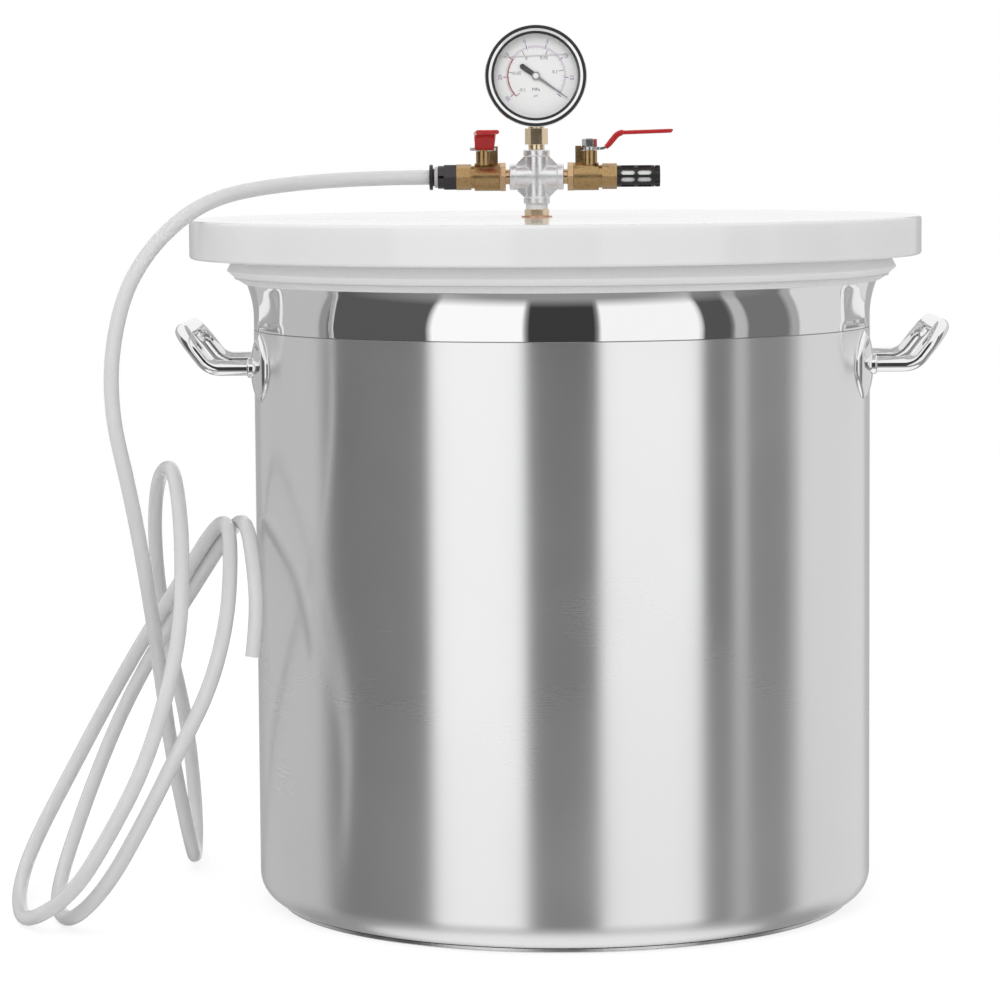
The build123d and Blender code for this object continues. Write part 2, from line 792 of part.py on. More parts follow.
def make_gauge_pointer():
    """Pointer blade with a round tail weight and a hub, on an arbor that runs back through the dial."""
    foot = dial_front + pointer_lift
    half = pointer_width / 2
    tip = pointer_tip_width / 2
    blade_points = [
        (-pointer_tail, -half),
        (pointer_taper_place, -half),
        (pointer_length, -tip),
        (pointer_length, tip),
        (pointer_taper_place, half),
        (-pointer_tail, half),
    ]
    blade = facing(make_face(Polyline(*blade_points, close=True)), foot + pointer_thickness, foot)
    weight = facing(Pos(-pointer_tail, 0) * Circle(pointer_weight_diameter / 2), foot + pointer_thickness, foot)
    hub = disc_facing(pointer_hub_diameter, foot + pointer_hub_height, foot)
    arbor = disc_facing(arbor_diameter, foot, movement_back)
    return Rot(0, -pointer_rest_angle, 0) * (blade + weight + hub + arbor)


def movement_plate_at(front):
    """One brass plate of the movement, with the arbor's bearing hole."""
    outline = RectangleRounded(movement_plate_width, movement_plate_height, movement_plate_radius)
    back = front - movement_plate_thickness
    return facing(outline, front, back) - disc_facing(arbor_diameter + 2 * arbor_clearance, front, back)


def make_movement_frame():
    """Back plate of the movement with its pillars, and a leg whose foot is screwed to the socket."""
    plate_front = movement_back + movement_plate_thickness
    frame = movement_plate_at(plate_front)
    half_leg = movement_leg_width / 2
    leg_top = -movement_plate_height / 2 + movement_plate_radius
    frame += block((-half_leg, -plate_front, socket_top), (half_leg, -movement_back, leg_top))
    foot_top = socket_top + movement_plate_thickness
    foot_back = movement_foot_length - plate_front
    frame += block((-half_leg, -plate_front, socket_top), (half_leg, foot_back, foot_top))
    for place in (-movement_pillar_spacing / 2, movement_pillar_spacing / 2):
        pillar = Pos(place, 0) * Circle(movement_pillar_diameter / 2)
        frame += facing(pillar, plate_front + movement_pillar_length, plate_front)
    return frame


def make_bourdon_tube():
    """Flattened tube bent round the movement, from the socket's side to its closed tip."""
    section = Pos(bourdon_radius, 0) * Ellipse(bourdon_thickness / 2, bourdon_width / 2)
    bend = revolve(section, Axis.Y, bourdon_tip_turn + 90)
    half = gauge_socket_width / 2
    socket = block((-half, -half, socket_foot), (half, half, socket_top))
    return Rot(0, -bourdon_tip_turn, 0) * bend - socket


# ---------------------------------------------------------------- hose, from inside the fitting to its cut end
fitting_x = port_place - valve_reach
hose_route = [
    (fitting_x - fitting_tube_stop, 0, cross_height),
    (-126, 0, cross_height),
    (-187, -40, 468),
    (-225, -86, 459),
    (-255, -116, 432),
    (-274, -130, 396),
    (-281, -134, 338),
    (-268, -126, 275),
    (-262, -92, 213),
    (-261, -36, 153),
    (-261, 24, 92),
    (-252, 72, 12),
    (-255, 126, 5),
    (-259, 168, 34),
    (-265, 174, 92),
    (-276, 138, 161),
    (-277, 86, 226),
    (-269, 34, 274),
    (-253, -24, 290),
    (-243, -74, 265),
    (-239, -106, 227),
    (-239, -130, 190),
    (-247, -148, 150),
    (-261, -156, 108),
    (-281, -158, 70),
    (-306, -148, 30),
    (-340, -114, 5),
    (-354, -56, 5),
    (-359, 8, 16),
    (-353, 60, 36),
    (-338, 92, 66),
    (-314, 102, 111),
    (-284, 86, 162),
    (-252, 50, 209),
    (-228, 10, 245),
    (-216, -34, 252),
    (-211, -76, 231),
    (-211, -108, 196),
    (-220, -134, 157),
    (-240, -147, 118),
    (-260, -152, 78),
    (-285, -147, 34),
    (-312, -120, 6),
    (-328, -64, 5),
    (-333, 4, 14),
    (-328, 58, 39),
    (-318, 88, 70),
    (-301, 98, 111),
    (-276, 88, 156),
    (-244, 54, 204),
    (-216, 6, 246),
    (-203, -48, 254),
    (-195, -92, 229),
    (-192, -108, 200),
    (-195, -113, 174),
]


def make_hose():
    """Round tube on straight runs joined by the largest arcs that they allow."""
    points = [Vector(*point) for point in hose_route]
    runs = [after - before for before, after in zip(points, points[1:])]
    radii = []
    for before, after in zip(runs, runs[1:]):
        turn = math.radians(before.get_angle(after))
        radii.append(0.45 * min(before.length, after.length) / math.tan(turn / 2))
    print("hose radii", [round(radius) for radius in radii])
    path = FilletPolyline(*points, radius=radii)
    ring = Circle(hose_diameter / 2) - Circle(hose_bore / 2)
    hose = sweep(Plane(path @ 0, z_dir=path % 0) * ring, path)
    section = math.pi * (hose_diameter**2 - hose_bore**2) / 4
    print("hose length", round(path.length, 1), "volume ratio", round(hose.volume / (section * path.length), 5))
    return hose


# ---------------------------------------------------------------- everything in its place
port = Pos(port_place, 0, 0)
centre = Pos(port_place, 0, cross_height)
right_end = Pos(port_place + valve_reach, 0, cross_height)
left_end = Pos(port_place - valve_reach, 0, cross_height)
gauge = Pos(port_place, 0, gauge_centre)

pieces = {
    "stock_pot": make_stock_pot(),
    "base_disc": make_base_disc(),
    "rim_gasket": make_rim_gasket(),
    "lid": make_lid(),
    "nipple_washer": port * make_washer(),
    "lid_nipple": port * make_nipple(),
    "nipple_tape": port * ring_up(tape_diameter, small_thread_diameter, nipple_top, cross_foot),
    "cross_fitting": centre * make_cross(),
    "left_push_fitting": left_end * mirrored(make_fitting_body()),
    "left_tube_seal": left_end * mirrored(make_tube_seal()),
    "left_grab_ring": left_end * mirrored(make_grab_ring()),
    "left_fitting_collar": left_end * mirrored(make_collar()),
    "left_release_ring": left_end * mirrored(make_release_ring()),
    "hose": make_hose(),
    "silencer_cage": right_end * make_silencer_cage(),
    "silencer_element": right_end * make_silencer_element(),
    "gauge_case": gauge * make_gauge_case(),
    "gauge_bezel": gauge * make_gauge_bezel(),
    "gauge_window": gauge * make_gauge_window(),
    "gauge_dial": gauge * make_gauge_dial(),
    "gauge_stem": centre * make_gauge_stem(),
    "gauge_fill_plug": gauge * make_fill_plug(),
    "gauge_pointer": gauge * make_gauge_pointer(),
    "movement_frame": gauge * make_movement_frame(),
    "movement_plate": gauge * movement_plate_at(movement_front),
    "bourdon_tube": gauge * make_bourdon_tube(),
}

handle = make_handle()
pieces["right_handle"] = handle
pieces["left_handle"] = mirrored(handle)
for side, name in ((-1, "front"), (1, "back")):
    plate = make_handle_plate(side)
    pieces[f"right_{name}_handle_plate"] = plate
    pieces[f"left_{name}_handle_plate"] = mirrored(plate)

seat = make_ball_seat()
other_seat = Pos(2 * valve_stem_place, 0, 0) * mirrored(seat)
valve_fixed = {
    "valve_body": make_valve_body(),
    "valve_end": make_valve_end(),
    "inner_ball_seat": seat,
    "outer_ball_seat": other_seat,
    "stem_packing": make_packing(),
}
valve_moving = {
    "valve_ball": make_ball(),
    "valve_stem": make_stem(),
    "valve_lever": make_lever(),
    "lever_grip": make_grip(),
    "lever_nut": make_nut(),
}
stem_axis = Pos(valve_stem_place, 0, 0)
closed_turn = stem_axis * Rot(0, 0, -lever_travel) * stem_axis.inverse()
for name, solid in valve_fixed.items():
    pieces[f"right_{name}"] = centre * solid
    pieces[f"left_{name}"] = centre * mirrored(solid)
for name, solid in valve_moving.items():
    pieces[f"right_{name}"] = centre * solid
    pieces[f"left_{name}"] = centre * mirrored(closed_turn * solid)

os.makedirs("parts", exist_ok=True)
for name, solid in pieces.items():
    export_step(solid, f"parts/{name}.step")
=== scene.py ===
"""Looks of a vacuum degassing chamber: a stock pot, an acrylic lid, a gauge, two valves, a silencer and a hose.

Lengths are metres in the row frame: the origin is on the pot's axis at the floor, +Z is up and the gauge faces -Y.
"""
import json
import logging
import math
from dataclasses import dataclass, field
from enum import Enum

import bmesh
import bpy
from mathutils import Matrix, Vector

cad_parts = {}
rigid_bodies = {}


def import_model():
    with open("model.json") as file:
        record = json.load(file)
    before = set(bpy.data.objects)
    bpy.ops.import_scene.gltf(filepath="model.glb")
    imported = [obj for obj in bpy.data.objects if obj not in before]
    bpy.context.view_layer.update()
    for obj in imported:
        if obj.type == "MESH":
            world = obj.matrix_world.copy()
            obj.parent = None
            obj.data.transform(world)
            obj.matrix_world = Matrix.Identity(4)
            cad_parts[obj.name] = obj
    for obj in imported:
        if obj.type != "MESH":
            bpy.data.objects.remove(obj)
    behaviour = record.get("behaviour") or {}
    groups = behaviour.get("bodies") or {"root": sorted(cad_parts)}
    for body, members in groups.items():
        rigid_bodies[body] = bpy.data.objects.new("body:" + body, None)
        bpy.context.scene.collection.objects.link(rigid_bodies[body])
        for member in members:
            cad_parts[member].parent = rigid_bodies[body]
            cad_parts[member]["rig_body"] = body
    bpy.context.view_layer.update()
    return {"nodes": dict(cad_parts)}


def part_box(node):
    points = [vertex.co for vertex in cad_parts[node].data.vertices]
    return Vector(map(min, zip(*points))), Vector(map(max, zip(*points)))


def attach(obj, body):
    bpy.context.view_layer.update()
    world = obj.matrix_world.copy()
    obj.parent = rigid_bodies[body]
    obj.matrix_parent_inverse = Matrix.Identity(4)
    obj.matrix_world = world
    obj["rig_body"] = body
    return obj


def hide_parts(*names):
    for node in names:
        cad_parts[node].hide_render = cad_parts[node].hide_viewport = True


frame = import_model()
NODES = frame["nodes"]
LOG = logging.getLogger("vacuum_chamber")
MM = 0.001
POLISH_LINE = 375.0 * MM
SIDES = ("left", "right")
UPRIGHT = Matrix.Identity(4)
# Corners of a CAD copy that are closer than this are one corner, and faces whose slopes, in radians, differ less
# than this are one flat face.
SAME_PLACE = 0.002 * MM
SAME_SLOPE = 0.002
EVEN = (1.0, 1.0, 1.0)
WHITE = (1.0, 1.0, 1.0, 1.0)
Span = tuple[float, float]
Triple = tuple[float, float, float]
Colour = tuple[float, float, float]


# ------------------------------------------------------------------------------------------------ node trees
class Tree:
    """A node tree, with short calls that add and join its nodes."""

    def __init__(self, tree: bpy.types.NodeTree) -> None:
        """Takes up a tree and empties it.

        Args:
            tree: The tree.
        """
        self.tree = tree
        tree.nodes.clear()

    def add(self, kind: str, inputs: dict | None = None, **settings: object) -> bpy.types.Node:
        """Adds one node.

        Args:
            kind: The node's type, without its ShaderNode prefix.
            inputs: Values or sockets for its inputs, by name or place.
            settings: Values for the node's own properties.

        Returns:
            The new node.
        """
        node = self.tree.nodes.new("ShaderNode" + kind)
        for key, value in settings.items():
            setattr(node, key, value)
        for key, value in (inputs or {}).items():
            self.feed(node, key, value)
        return node

    def feed(self, node: bpy.types.Node, key: str | int, value: object) -> None:
        """Sets one input to a value, or joins it to a socket.

        Args:
            node: The node whose input is set.
            key: The input's name or place.
            value: A number, a colour or another node's output socket.
        """
        if isinstance(value, bpy.types.NodeSocket):
            self.tree.links.new(value, node.inputs[key])
        else:
            node.inputs[key].default_value = value

    def reckon(self, first: object, second: object, operation: str = "ADD") -> bpy.types.NodeSocket:
        """Works out one operation on two values, by default their sum."""
        return self.add("Math", {0: first, 1: second}, operation=operation).outputs[0]


class Shader(Tree):
    """A material's node tree round one Principled BSDF."""

    def __init__(self, name: str) -> None:
        """Starts a material.

        Args:
            name: The material's name.
        """
        self.material = bpy.data.materials.new(name)
        self.material.use_nodes = True
        super().__init__(self.material.node_tree)
        self.output = self.add("OutputMaterial")
        self.bsdf = self.add("BsdfPrincipled")
        self.feed(self.output, "Surface", self.bsdf.outputs[0])
        self.coordinates = self.add("TexCoord").outputs["Object"]

    def settle(self, **values: object) -> None:
        """Sets inputs of the Principled BSDF; an underscore stands for a space in a name."""
        for key, value in values.items():
            self.feed(self.bsdf, key.replace("_", " "), value)

    def effect(self, tree: bpy.types.NodeTree, **inputs: float) -> bpy.types.Node:
        """Places a shared effect, read at the surface's own place.

        Args:
            tree: The effect's node group.
            inputs: Its values by name.

        Returns:
            The group node.
        """
        return self.add("Group", {"Vector": self.coordinates, **inputs}, node_tree=tree)

    def patches(self, scale: float) -> bpy.types.NodeSocket:
        """The mask of large soft patches at a scale."""
        return self.effect(EFFECTS.smudges, Scale=scale).outputs[0]

    def blend(self, amount: object, first: object, second: object) -> bpy.types.NodeSocket:
        """Mixes two colours.

        Args:
            amount: How much of the second colour shows.
            first: The first colour.
            second: The second colour.

        Returns:
            The mixed colour's socket.
        """
        return self.add("Mix", {0: amount, 6: first, 7: second}, data_type="RGBA").outputs[2]

    def shaded(self, mask: object, colour: Colour, share: float) -> bpy.types.NodeSocket:
        """A colour that gets darker where a mask is low.

        Args:
            mask: The mask, from 0 to 1.
            colour: The colour where the mask is 1.
            share: How much of the colour is left where the mask is 0.

        Returns:
            The colour's socket.
        """
        return self.blend(mask, (*(part * share for part in colour), 1), (*colour, 1))

    def span(self, value: bpy.types.NodeSocket, low: float, high: float) -> bpy.types.NodeSocket:
        """Stretches a mask to run from one number to another.

        Args:
            value: The mask, from 0 to 1.
            low: The result where the mask is 0.
            high: The result where the mask is 1.

        Returns:
            The stretched value's socket.
        """
        return self.add("MapRange", {"Value": value, "To Min": low, "To Max": high}).outputs["Result"]

    def bump(self, height: object, strength: float, distance: float) -> bpy.types.NodeSocket:
        """Raises a surface by a height.

        Args:
            height: The height's socket.
            strength: How strongly the bump shows.
            distance: The height's size in metres.

        Returns:
            The new normal's socket.
        """
        return self.add("Bump", {"Height": height, "Strength": strength, "Distance": distance}).outputs["Normal"]


class Effect(Tree):
    """A shared effect: a node group that reads a position and puts out values."""

    def __init__(self, name: str, inputs: dict[str, float], outputs: tuple[str, ...]) -> None:
        """Starts the group with its sockets.

        Args:
            name: The group's name.
            inputs: Its float inputs, with their first values.
            outputs: Its float outputs.
        """
        super().__init__(bpy.data.node_groups.new(name, "ShaderNodeTree"))
        self.tree.interface.new_socket("Vector", in_out="INPUT", socket_type="NodeSocketVector")
        for key, value in inputs.items():
            socket = self.tree.interface.new_socket(key, in_out="INPUT", socket_type="NodeSocketFloat")
            socket.default_value = value
        for key in outputs:
            self.tree.interface.new_socket(key, in_out="OUTPUT", socket_type="NodeSocketFloat")
        self.start = self.tree.nodes.new("NodeGroupInput").outputs
        self.end = self.tree.nodes.new("NodeGroupOutput")

    def put_out(self, **values: bpy.types.NodeSocket) -> bpy.types.NodeTree:
        """Joins sockets to the group's outputs by name, and gives the finished group."""
        for key, value in values.items():
            self.feed(self.end, key, value)
        return self.tree


class Effects:
    """The shader effects that the finishes are made with, each built once."""

    def __init__(self) -> None:
        """Builds every effect."""
        self.grain = self.make_grain()
        self.brushing = self.make_brushing()
        self.smudges = self.make_smudges()

    @staticmethod
    def make_grain() -> bpy.types.NodeTree:
        """A fine, even speckle, such as a cast or moulded surface has.

        Returns:
            The group, with outputs Value and Pits.
        """
        effect = Effect("Fine Grain", {"Scale": 900.0}, ("Value", "Pits"))
        place = {"Vector": effect.start["Vector"], "Scale": effect.start["Scale"]}
        noise = effect.add("TexNoise", {**place, "Detail": 4.0, "Roughness": 0.6}).outputs[0]
        dips = {"Value": noise, "From Min": 0.34, "From Max": 0.5}
        pits = effect.add("MapRange", dips, interpolation_type="SMOOTHSTEP").outputs[0]
        return effect.put_out(Value=noise, Pits=pits)

    @staticmethod
    def make_brushing() -> bpy.types.NodeTree:
        """Fine lines that run round a turned or brushed piece, level with the floor.

        Returns:
            The group, with output Lines.
        """
        effect = Effect("Brushed Lines", {"Fineness": 2500.0, "Length": 12.0}, ("Lines",))
        length, fineness = effect.start["Length"], effect.start["Fineness"]
        stretch = effect.add("CombineXYZ", {0: length, 1: length, 2: fineness}).outputs[0]
        place = effect.add("VectorMath", {0: effect.start["Vector"], 1: stretch}, operation="MULTIPLY").outputs[0]
        noise = effect.add("TexNoise", {"Vector": place, "Scale": 1.0, "Detail": 3.0}).outputs[0]
        return effect.put_out(Lines=noise)

    @staticmethod
    def make_smudges() -> bpy.types.NodeTree:
        """Large soft patches, such as handling leaves.

        Returns:
            The group, with output Patches.
        """
        effect = Effect("Soft Patches", {"Scale": 8.0}, ("Patches",))
        place = {"Vector": effect.start["Vector"], "Scale": effect.start["Scale"]}
        noise = effect.add("TexNoise", {**place, "Detail": 2.0, "Distortion": 0.4}).outputs[0]
        patches = effect.add("MapRange", {"Value": noise, "From Min": 0.35, "From Max": 0.65}).outputs[0]
        return effect.put_out(Patches=patches)


EFFECTS = Effects()


# ------------------------------------------------------------------------------------------------ finishes
@dataclass(frozen=True)
class Metal:
    """Bare or plated metal.

    Attributes:
        name: The finish's name.
        colour: Its reflection colour.
        rough: Lowest and highest roughness.
        grain: The surface grain's fineness, per metre.
        depth: The grain's depth in metres.
        shade: How much of the colour is left in the pits.
        patch: The scale of its duller patches, per metre.
        raised: How strongly the grain shows.
    """

    name: str
    colour: Colour
    rough: Span = (0.15, 0.3)
    grain: float = 1500.0
    depth: float = 0.00002
    shade: float = 0.85
    patch: float = 60.0
    raised: float = 0.6

    def build(self) -> bpy.types.Material:
        """Builds the finish.

        Returns:
            Its material.
        """
        shader = Shader(self.name)
        grain = shader.effect(EFFECTS.grain, Scale=self.grain)
        shader.settle(
            Base_Color=shader.shaded(grain.outputs["Pits"], self.colour, self.shade),
            Metallic=1.0,
            Roughness=shader.span(shader.patches(self.patch), *self.rough),
            Normal=shader.bump(grain.outputs["Value"], self.raised, self.depth),
        )
        return shader.material


@dataclass(frozen=True)
class Plastic:
    """Moulded plastic, rubber, silicone, paint or enamel.

    Attributes:
        name: The finish's name.
        colour: Its colour.
        rough: Lowest and highest roughness.
        grain: The surface grain's fineness, per metre.
        depth: The grain's depth in metres.
        depth_of_light: How far light travels inside, in metres; 0 for none.
        shade: How much of the colour is left in the pits.
        patch: The scale of its duller patches, per metre.
        raised: How strongly the grain shows.
    """

    name: str
    colour: Colour
    rough: Span = (0.35, 0.5)
    grain: float = 1200.0
    depth: float = 0.00002
    depth_of_light: float = 0.0
    shade: float = 0.93
    patch: float = 25.0
    raised: float = 0.5

    def build(self) -> bpy.types.Material:
        """Builds the finish.

        Returns:
            Its material.
        """
        shader = Shader(self.name)
        grain = shader.effect(EFFECTS.grain, Scale=self.grain)
        shader.settle(
            Base_Color=shader.shaded(grain.outputs["Pits"], self.colour, self.shade),
            Roughness=shader.span(shader.patches(self.patch), *self.rough),
            Normal=shader.bump(grain.outputs["Value"], self.raised, self.depth),
        )
        if self.depth_of_light:
            shader.settle(Subsurface_Weight=0.5, Subsurface_Scale=self.depth_of_light, Subsurface_Radius=EVEN)
        return shader.material


@dataclass(frozen=True)
class PotSteel:
    """Stainless sheet: polished above the line under the rim, and finely brushed below it.

    Attributes:
        line: The height of the line between the two.
        line_width: How wide the dark line is that the polishing leaves.
        line_colour: The dark line's colour.
        fade: How far the polish fades out on each side of the line.
        colour: The brushed steel's reflection colour.
        band_colour: The polished band's reflection colour.
        rough: Lowest and highest roughness of the brushed lines.
        band_rough: The polished band's roughness.
        worn: The heights between which wear grows towards the bottom, and the roughness that it adds.
        handled: The least and the most that handling adds to the roughness.
        lines: How many brushed lines there are per metre, and the same for their length.
    """

    line: float = POLISH_LINE
    line_width: float = 0.7 * MM
    line_colour: Colour = (0.3, 0.3, 0.3)
    fade: float = 0.2 * MM
    colour: Colour = (0.87, 0.87, 0.875)
    band_colour: Colour = (0.9, 0.9, 0.905)
    rough: Span = (0.225, 0.245)
    band_rough: float = 0.035
    worn: Triple = (0.3, 0.03, 0.07)
    handled: Span = (-0.015, 0.02)
    lines: Span = (2600.0, 9.0)

    def build(self) -> bpy.types.Material:
        """Builds the finish.

        Returns:
            Its material.
        """
        shader = Shader("pot steel")
        lines = shader.effect(EFFECTS.brushing, Fineness=self.lines[0], Length=self.lines[1]).outputs[0]
        height = shader.add("SeparateXYZ", {0: shader.coordinates}).outputs["Z"]
        edge = {"Value": height, "From Min": self.line - self.fade, "From Max": self.line + self.fade}
        polished = shader.add("MapRange", edge).outputs["Result"]
        wear = {"Value": height, "From Min": self.worn[0], "From Max": self.worn[1], "To Max": self.worn[2]}
        brushed = shader.reckon(shader.span(lines, *self.rough), shader.add("MapRange", wear).outputs["Result"])
        brushed = shader.reckon(brushed, shader.span(shader.patches(7.0), *self.handled))
        tint = shader.blend(polished, shader.shaded(lines, self.colour, 0.985), (*self.band_colour, 1))
        from_line = shader.reckon(shader.reckon(height, self.line, "SUBTRACT"), 0.0, "ABSOLUTE")
        on_line = shader.reckon(from_line, self.line_width / 2, "LESS_THAN")
        shader.settle(
            Base_Color=shader.blend(on_line, tint, (*self.line_colour, 1)),
            Metallic=shader.span(polished, 0.93, 1.0),
            Roughness=shader.add("Mix", {0: polished, 2: brushed, 3: self.band_rough}).outputs[0],
            Anisotropic=0.9,
            Tangent=shader.add("CombineXYZ", {0: 0.01, 1: 0.0, 2: 1.0}).outputs[0],
        )
        return shader.material


@dataclass(frozen=True)
class MilkyPlastic:
    """Plastic that light goes into: cast acrylic or polyurethane tube.

    Attributes:
        name: The finish's name.
        colour: Its colour.
        shade: How much of the colour is left in its patches.
        rough: Lowest and highest roughness.
        patch: The patches' scale, per metre.
        inside: How much of the light travels inside, and how far in metres.
        clear: How much of the light goes through.
        index: Its refractive index.
    """

    name: str
    colour: Colour
    shade: float
    rough: Span
    patch: float
    inside: Span
    clear: float
    index: float

    def build(self) -> bpy.types.Material:
        """Builds the finish.

        Returns:
            Its material.
        """
        shader = Shader(self.name)
        patches = shader.patches(self.patch)
        shader.settle(
            Base_Color=shader.shaded(patches, self.colour, self.shade),
            Roughness=shader.span(patches, *self.rough),
            Transmission_Weight=self.clear,
            Subsurface_Weight=self.inside[0],
            Subsurface_Scale=self.inside[1],
            Subsurface_Radius=EVEN,
            IOR=self.index,
        )
        return shader.material


@dataclass(frozen=True)
class Glass:
    """Clear window plastic, which casts no shadow on what lies behind it.

    Attributes:
        name: The finish's name.
        colour: Its tint.
        rough: Lowest and highest roughness.
        index: Its refractive index.
    """

    name: str
    colour: Colour = (0.98, 0.985, 0.985)
    rough: Span = (0.0, 0.02)
    index: float = 1.45

    def build(self) -> bpy.types.Material:
        """Builds the finish.

        Returns:
            Its material.
        """
        shader = Shader(self.name)
        patches = shader.patches(50.0)
        shader.settle(
            Base_Color=shader.shaded(patches, self.colour, 0.99),
            Roughness=shader.span(patches, *self.rough),
            Transmission_Weight=1.0,
            IOR=self.index,
        )
        rays = shader.add("LightPath").outputs
        unseen = shader.reckon(rays["Is Shadow Ray"], rays["Is Diffuse Ray"], "MAXIMUM")
        clear = shader.add("BsdfTransparent").outputs[0]
        mix = shader.add("MixShader", {0: unseen, 1: shader.bsdf.outputs[0], 2: clear})
        shader.feed(shader.output, "Surface", mix.outputs[0])
        return shader.material


class Finish(Enum):
    """Every finish on the object."""

    POT = PotSteel()
    LID = MilkyPlastic("milky acrylic", (0.79, 0.79, 0.79), 0.985, (0.05, 0.09), 5.0, (0.35, 0.012), 0.0, 1.49)
    HOSE = MilkyPlastic("hose polyurethane", (0.97, 0.97, 0.97), 0.975, (0.1, 0.15), 12.0, (0.6, 0.004), 0.25, 1.35)
    WINDOW = Glass("gauge window")
    BASE = Metal("base disc steel", (0.66, 0.66, 0.665), (0.22, 0.35))
    MIRROR_STEEL = Metal("polished steel", (0.88, 0.88, 0.885), (0.05, 0.1), 800.0, 0.000002, 0.97)
    LEVER_STEEL = Metal("plated lever steel", (0.7, 0.7, 0.71), (0.2, 0.32), 1500.0, 0.00001)
    BRASS = Metal("machined brass", (0.62, 0.42, 0.24), (0.14, 0.24), 1800.0, 0.000012, 0.85)
    NIPPLE_BRASS = Metal("bright brass", (0.93, 0.75, 0.52), (0.2, 0.3), 1800.0, 0.000012, 0.92)
    VALVE_BRASS = Metal("valve brass", (0.47, 0.31, 0.145), (0.2, 0.34), 900.0, 0.00008, 0.7)
    COPPER = Metal("copper washer", (0.85, 0.52, 0.36), (0.2, 0.35))
    ALUMINIUM = Metal("cast aluminium", (0.95, 0.95, 0.96), (0.3, 0.42), 900.0, 0.00008, 0.85)
    BLACK_NICKEL = Metal("black nickel", (0.075, 0.07, 0.072), (0.08, 0.16), 1500.0, 0.000004)
    SPRING = Metal("spring steel", (0.6, 0.6, 0.61), (0.2, 0.3))
    SILICONE = Plastic("white silicone", (0.92, 0.92, 0.92), (0.5, 0.62), 700.0, 0.00001, 0.004, 0.97)
    TAPE = Plastic("sealing tape", (0.85, 0.85, 0.84), (0.45, 0.6), 1500.0, 0.00006)
    COLLAR = Plastic("grey collar", (0.55, 0.55, 0.53), (0.3, 0.4))
    BLACK_PLASTIC = Plastic("black plastic", (0.012, 0.012, 0.013), (0.28, 0.42), 1800.0, 0.00002, 0.0, 0.7)
    ELEMENT = Plastic("porous element", (0.92, 0.92, 0.91), (0.7, 0.85), 2200.0, 0.00005)
    RUBBER = Plastic("black rubber", (0.02, 0.02, 0.02), (0.5, 0.65))
    GRIP = Plastic("red dipped vinyl", (0.52, 0.012, 0.016), (0.18, 0.3), 500.0, 0.00002, 0.001)
    DIAL = Plastic("dial enamel", (0.95, 0.95, 0.945), (0.35, 0.45), 900.0, 0.000005, 0.0, 0.985)
    BLACK_INK = Plastic("black print", (0.02, 0.02, 0.025), (0.4, 0.5))
    PURPLE_INK = Plastic("violet print", (0.26, 0.07, 0.34), (0.4, 0.5))
    RED_INK = Plastic("red print", (0.36, 0.015, 0.05), (0.4, 0.5))
    POINTER = Plastic("pointer paint", (0.03, 0.03, 0.03), (0.35, 0.45))
    NEEDLE = Metal("bare needle", (0.3, 0.3, 0.3), (0.3, 0.4))
    HUB = Plastic("hub cap", (0.9, 0.9, 0.9), (0.3, 0.4))
    SURFACE = Plastic("glycerine surface", (0.6, 0.61, 0.6), (0.3, 0.4))

    @property
    def material(self) -> bpy.types.Material:
        """The finish's material, built on its first use.

        Returns:
            The material.
        """
        found = bpy.data.materials.get(self.name)
        if found is None:
            found = self.value.build()
            found.name = self.name
        return found


# ------------------------------------------------------------------------------------------------ meshes
def rounded(corners: list[tuple[float, float]], rounds: dict[int, float], steps: int = 6) -> list[Vector]:
    """An outline with some of its corners made into arcs.

    Args:
        corners: The corners as (radius, height) pairs, in order round the section.
        rounds: The arcs' radii by corner.
        steps: How many edges each arc has.

    Returns:
        The outline's points.
    """
    points = []
    for place, corner in enumerate(corners):
        here = Vector(corner)
        radius = rounds.get(place, 0.0)
        if radius == 0.0:
            points.append(here)
            continue
        before = (Vector(corners[place - 1]) - here).normalized()
        after = (Vector(corners[(place + 1) % len(corners)]) - here).normalized()
        half = before.angle(after) / 2
        centre = here + (before + after).normalized() * radius / math.sin(half)
        start = here + before * radius / math.tan(half) - centre
        end = here + after * radius / math.tan(half) - centre
        points += [centre + start.slerp(end, step / steps).normalized() * radius for step in range(steps + 1)]
    return points


def drum(radius: float, low: float, high: float, rounds: dict[int, float], steps: int = 6) -> list[Vector]:
    """The outline of a drum on its axis.

    Args:
        radius: The drum's radius.
        low: The height of its lower face.
        high: The height of its upper face.
        rounds: The radii of its edges: 1 is the lower one and 2 the upper one.
        steps: How many edges each round has.

    Returns:
        The outline's points.
    """
    return rounded([(0, low), (radius, low), (radius, high), (0, high)], rounds, steps)


def add_piece(name: str, shape: bmesh.types.BMesh, finish: Finish, node: str, sharp: float = 0.6,
              instead: bool = False) -> bpy.types.Object:
    """Makes a finished piece from a shape, on the body that a node is on.

    Args:
        name: The piece's name.
        shape: Its shape, in the row frame.
        finish: Its finish.
        node: The CAD node whose body it takes.
        sharp: The angle in radians over which an edge stays sharp.
        instead: Whether it stands for that node.

    Returns:
        The piece.
    """
    mesh = bpy.data.meshes.new(name)
    shape.to_mesh(mesh)
    shape.free()
    mesh.shade_smooth()
    mesh.set_sharp_from_angle(angle=sharp)
    mesh.materials.append(finish.material)
    piece = bpy.data.objects.new(name, mesh)
    bpy.context.scene.collection.objects.link(piece)
    weighted = piece.modifiers.new("Large faces lead", "WEIGHTED_NORMAL")
    weighted.keep_sharp = True
    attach(piece, NODES[node]["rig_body"])
    if instead:
        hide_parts(node)
    LOG.info("%s: %d faces", name, len(mesh.polygons))
    return piece


def stand_in(node: str, shape: bmesh.types.BMesh, finish: Finish, sharp: float = 0.6) -> bpy.types.Object:
    """Makes a finished piece that stands for one CAD node, with the node's name and _dressed."""
    return add_piece(f"{node}_dressed", shape, finish, node, sharp, instead=True)


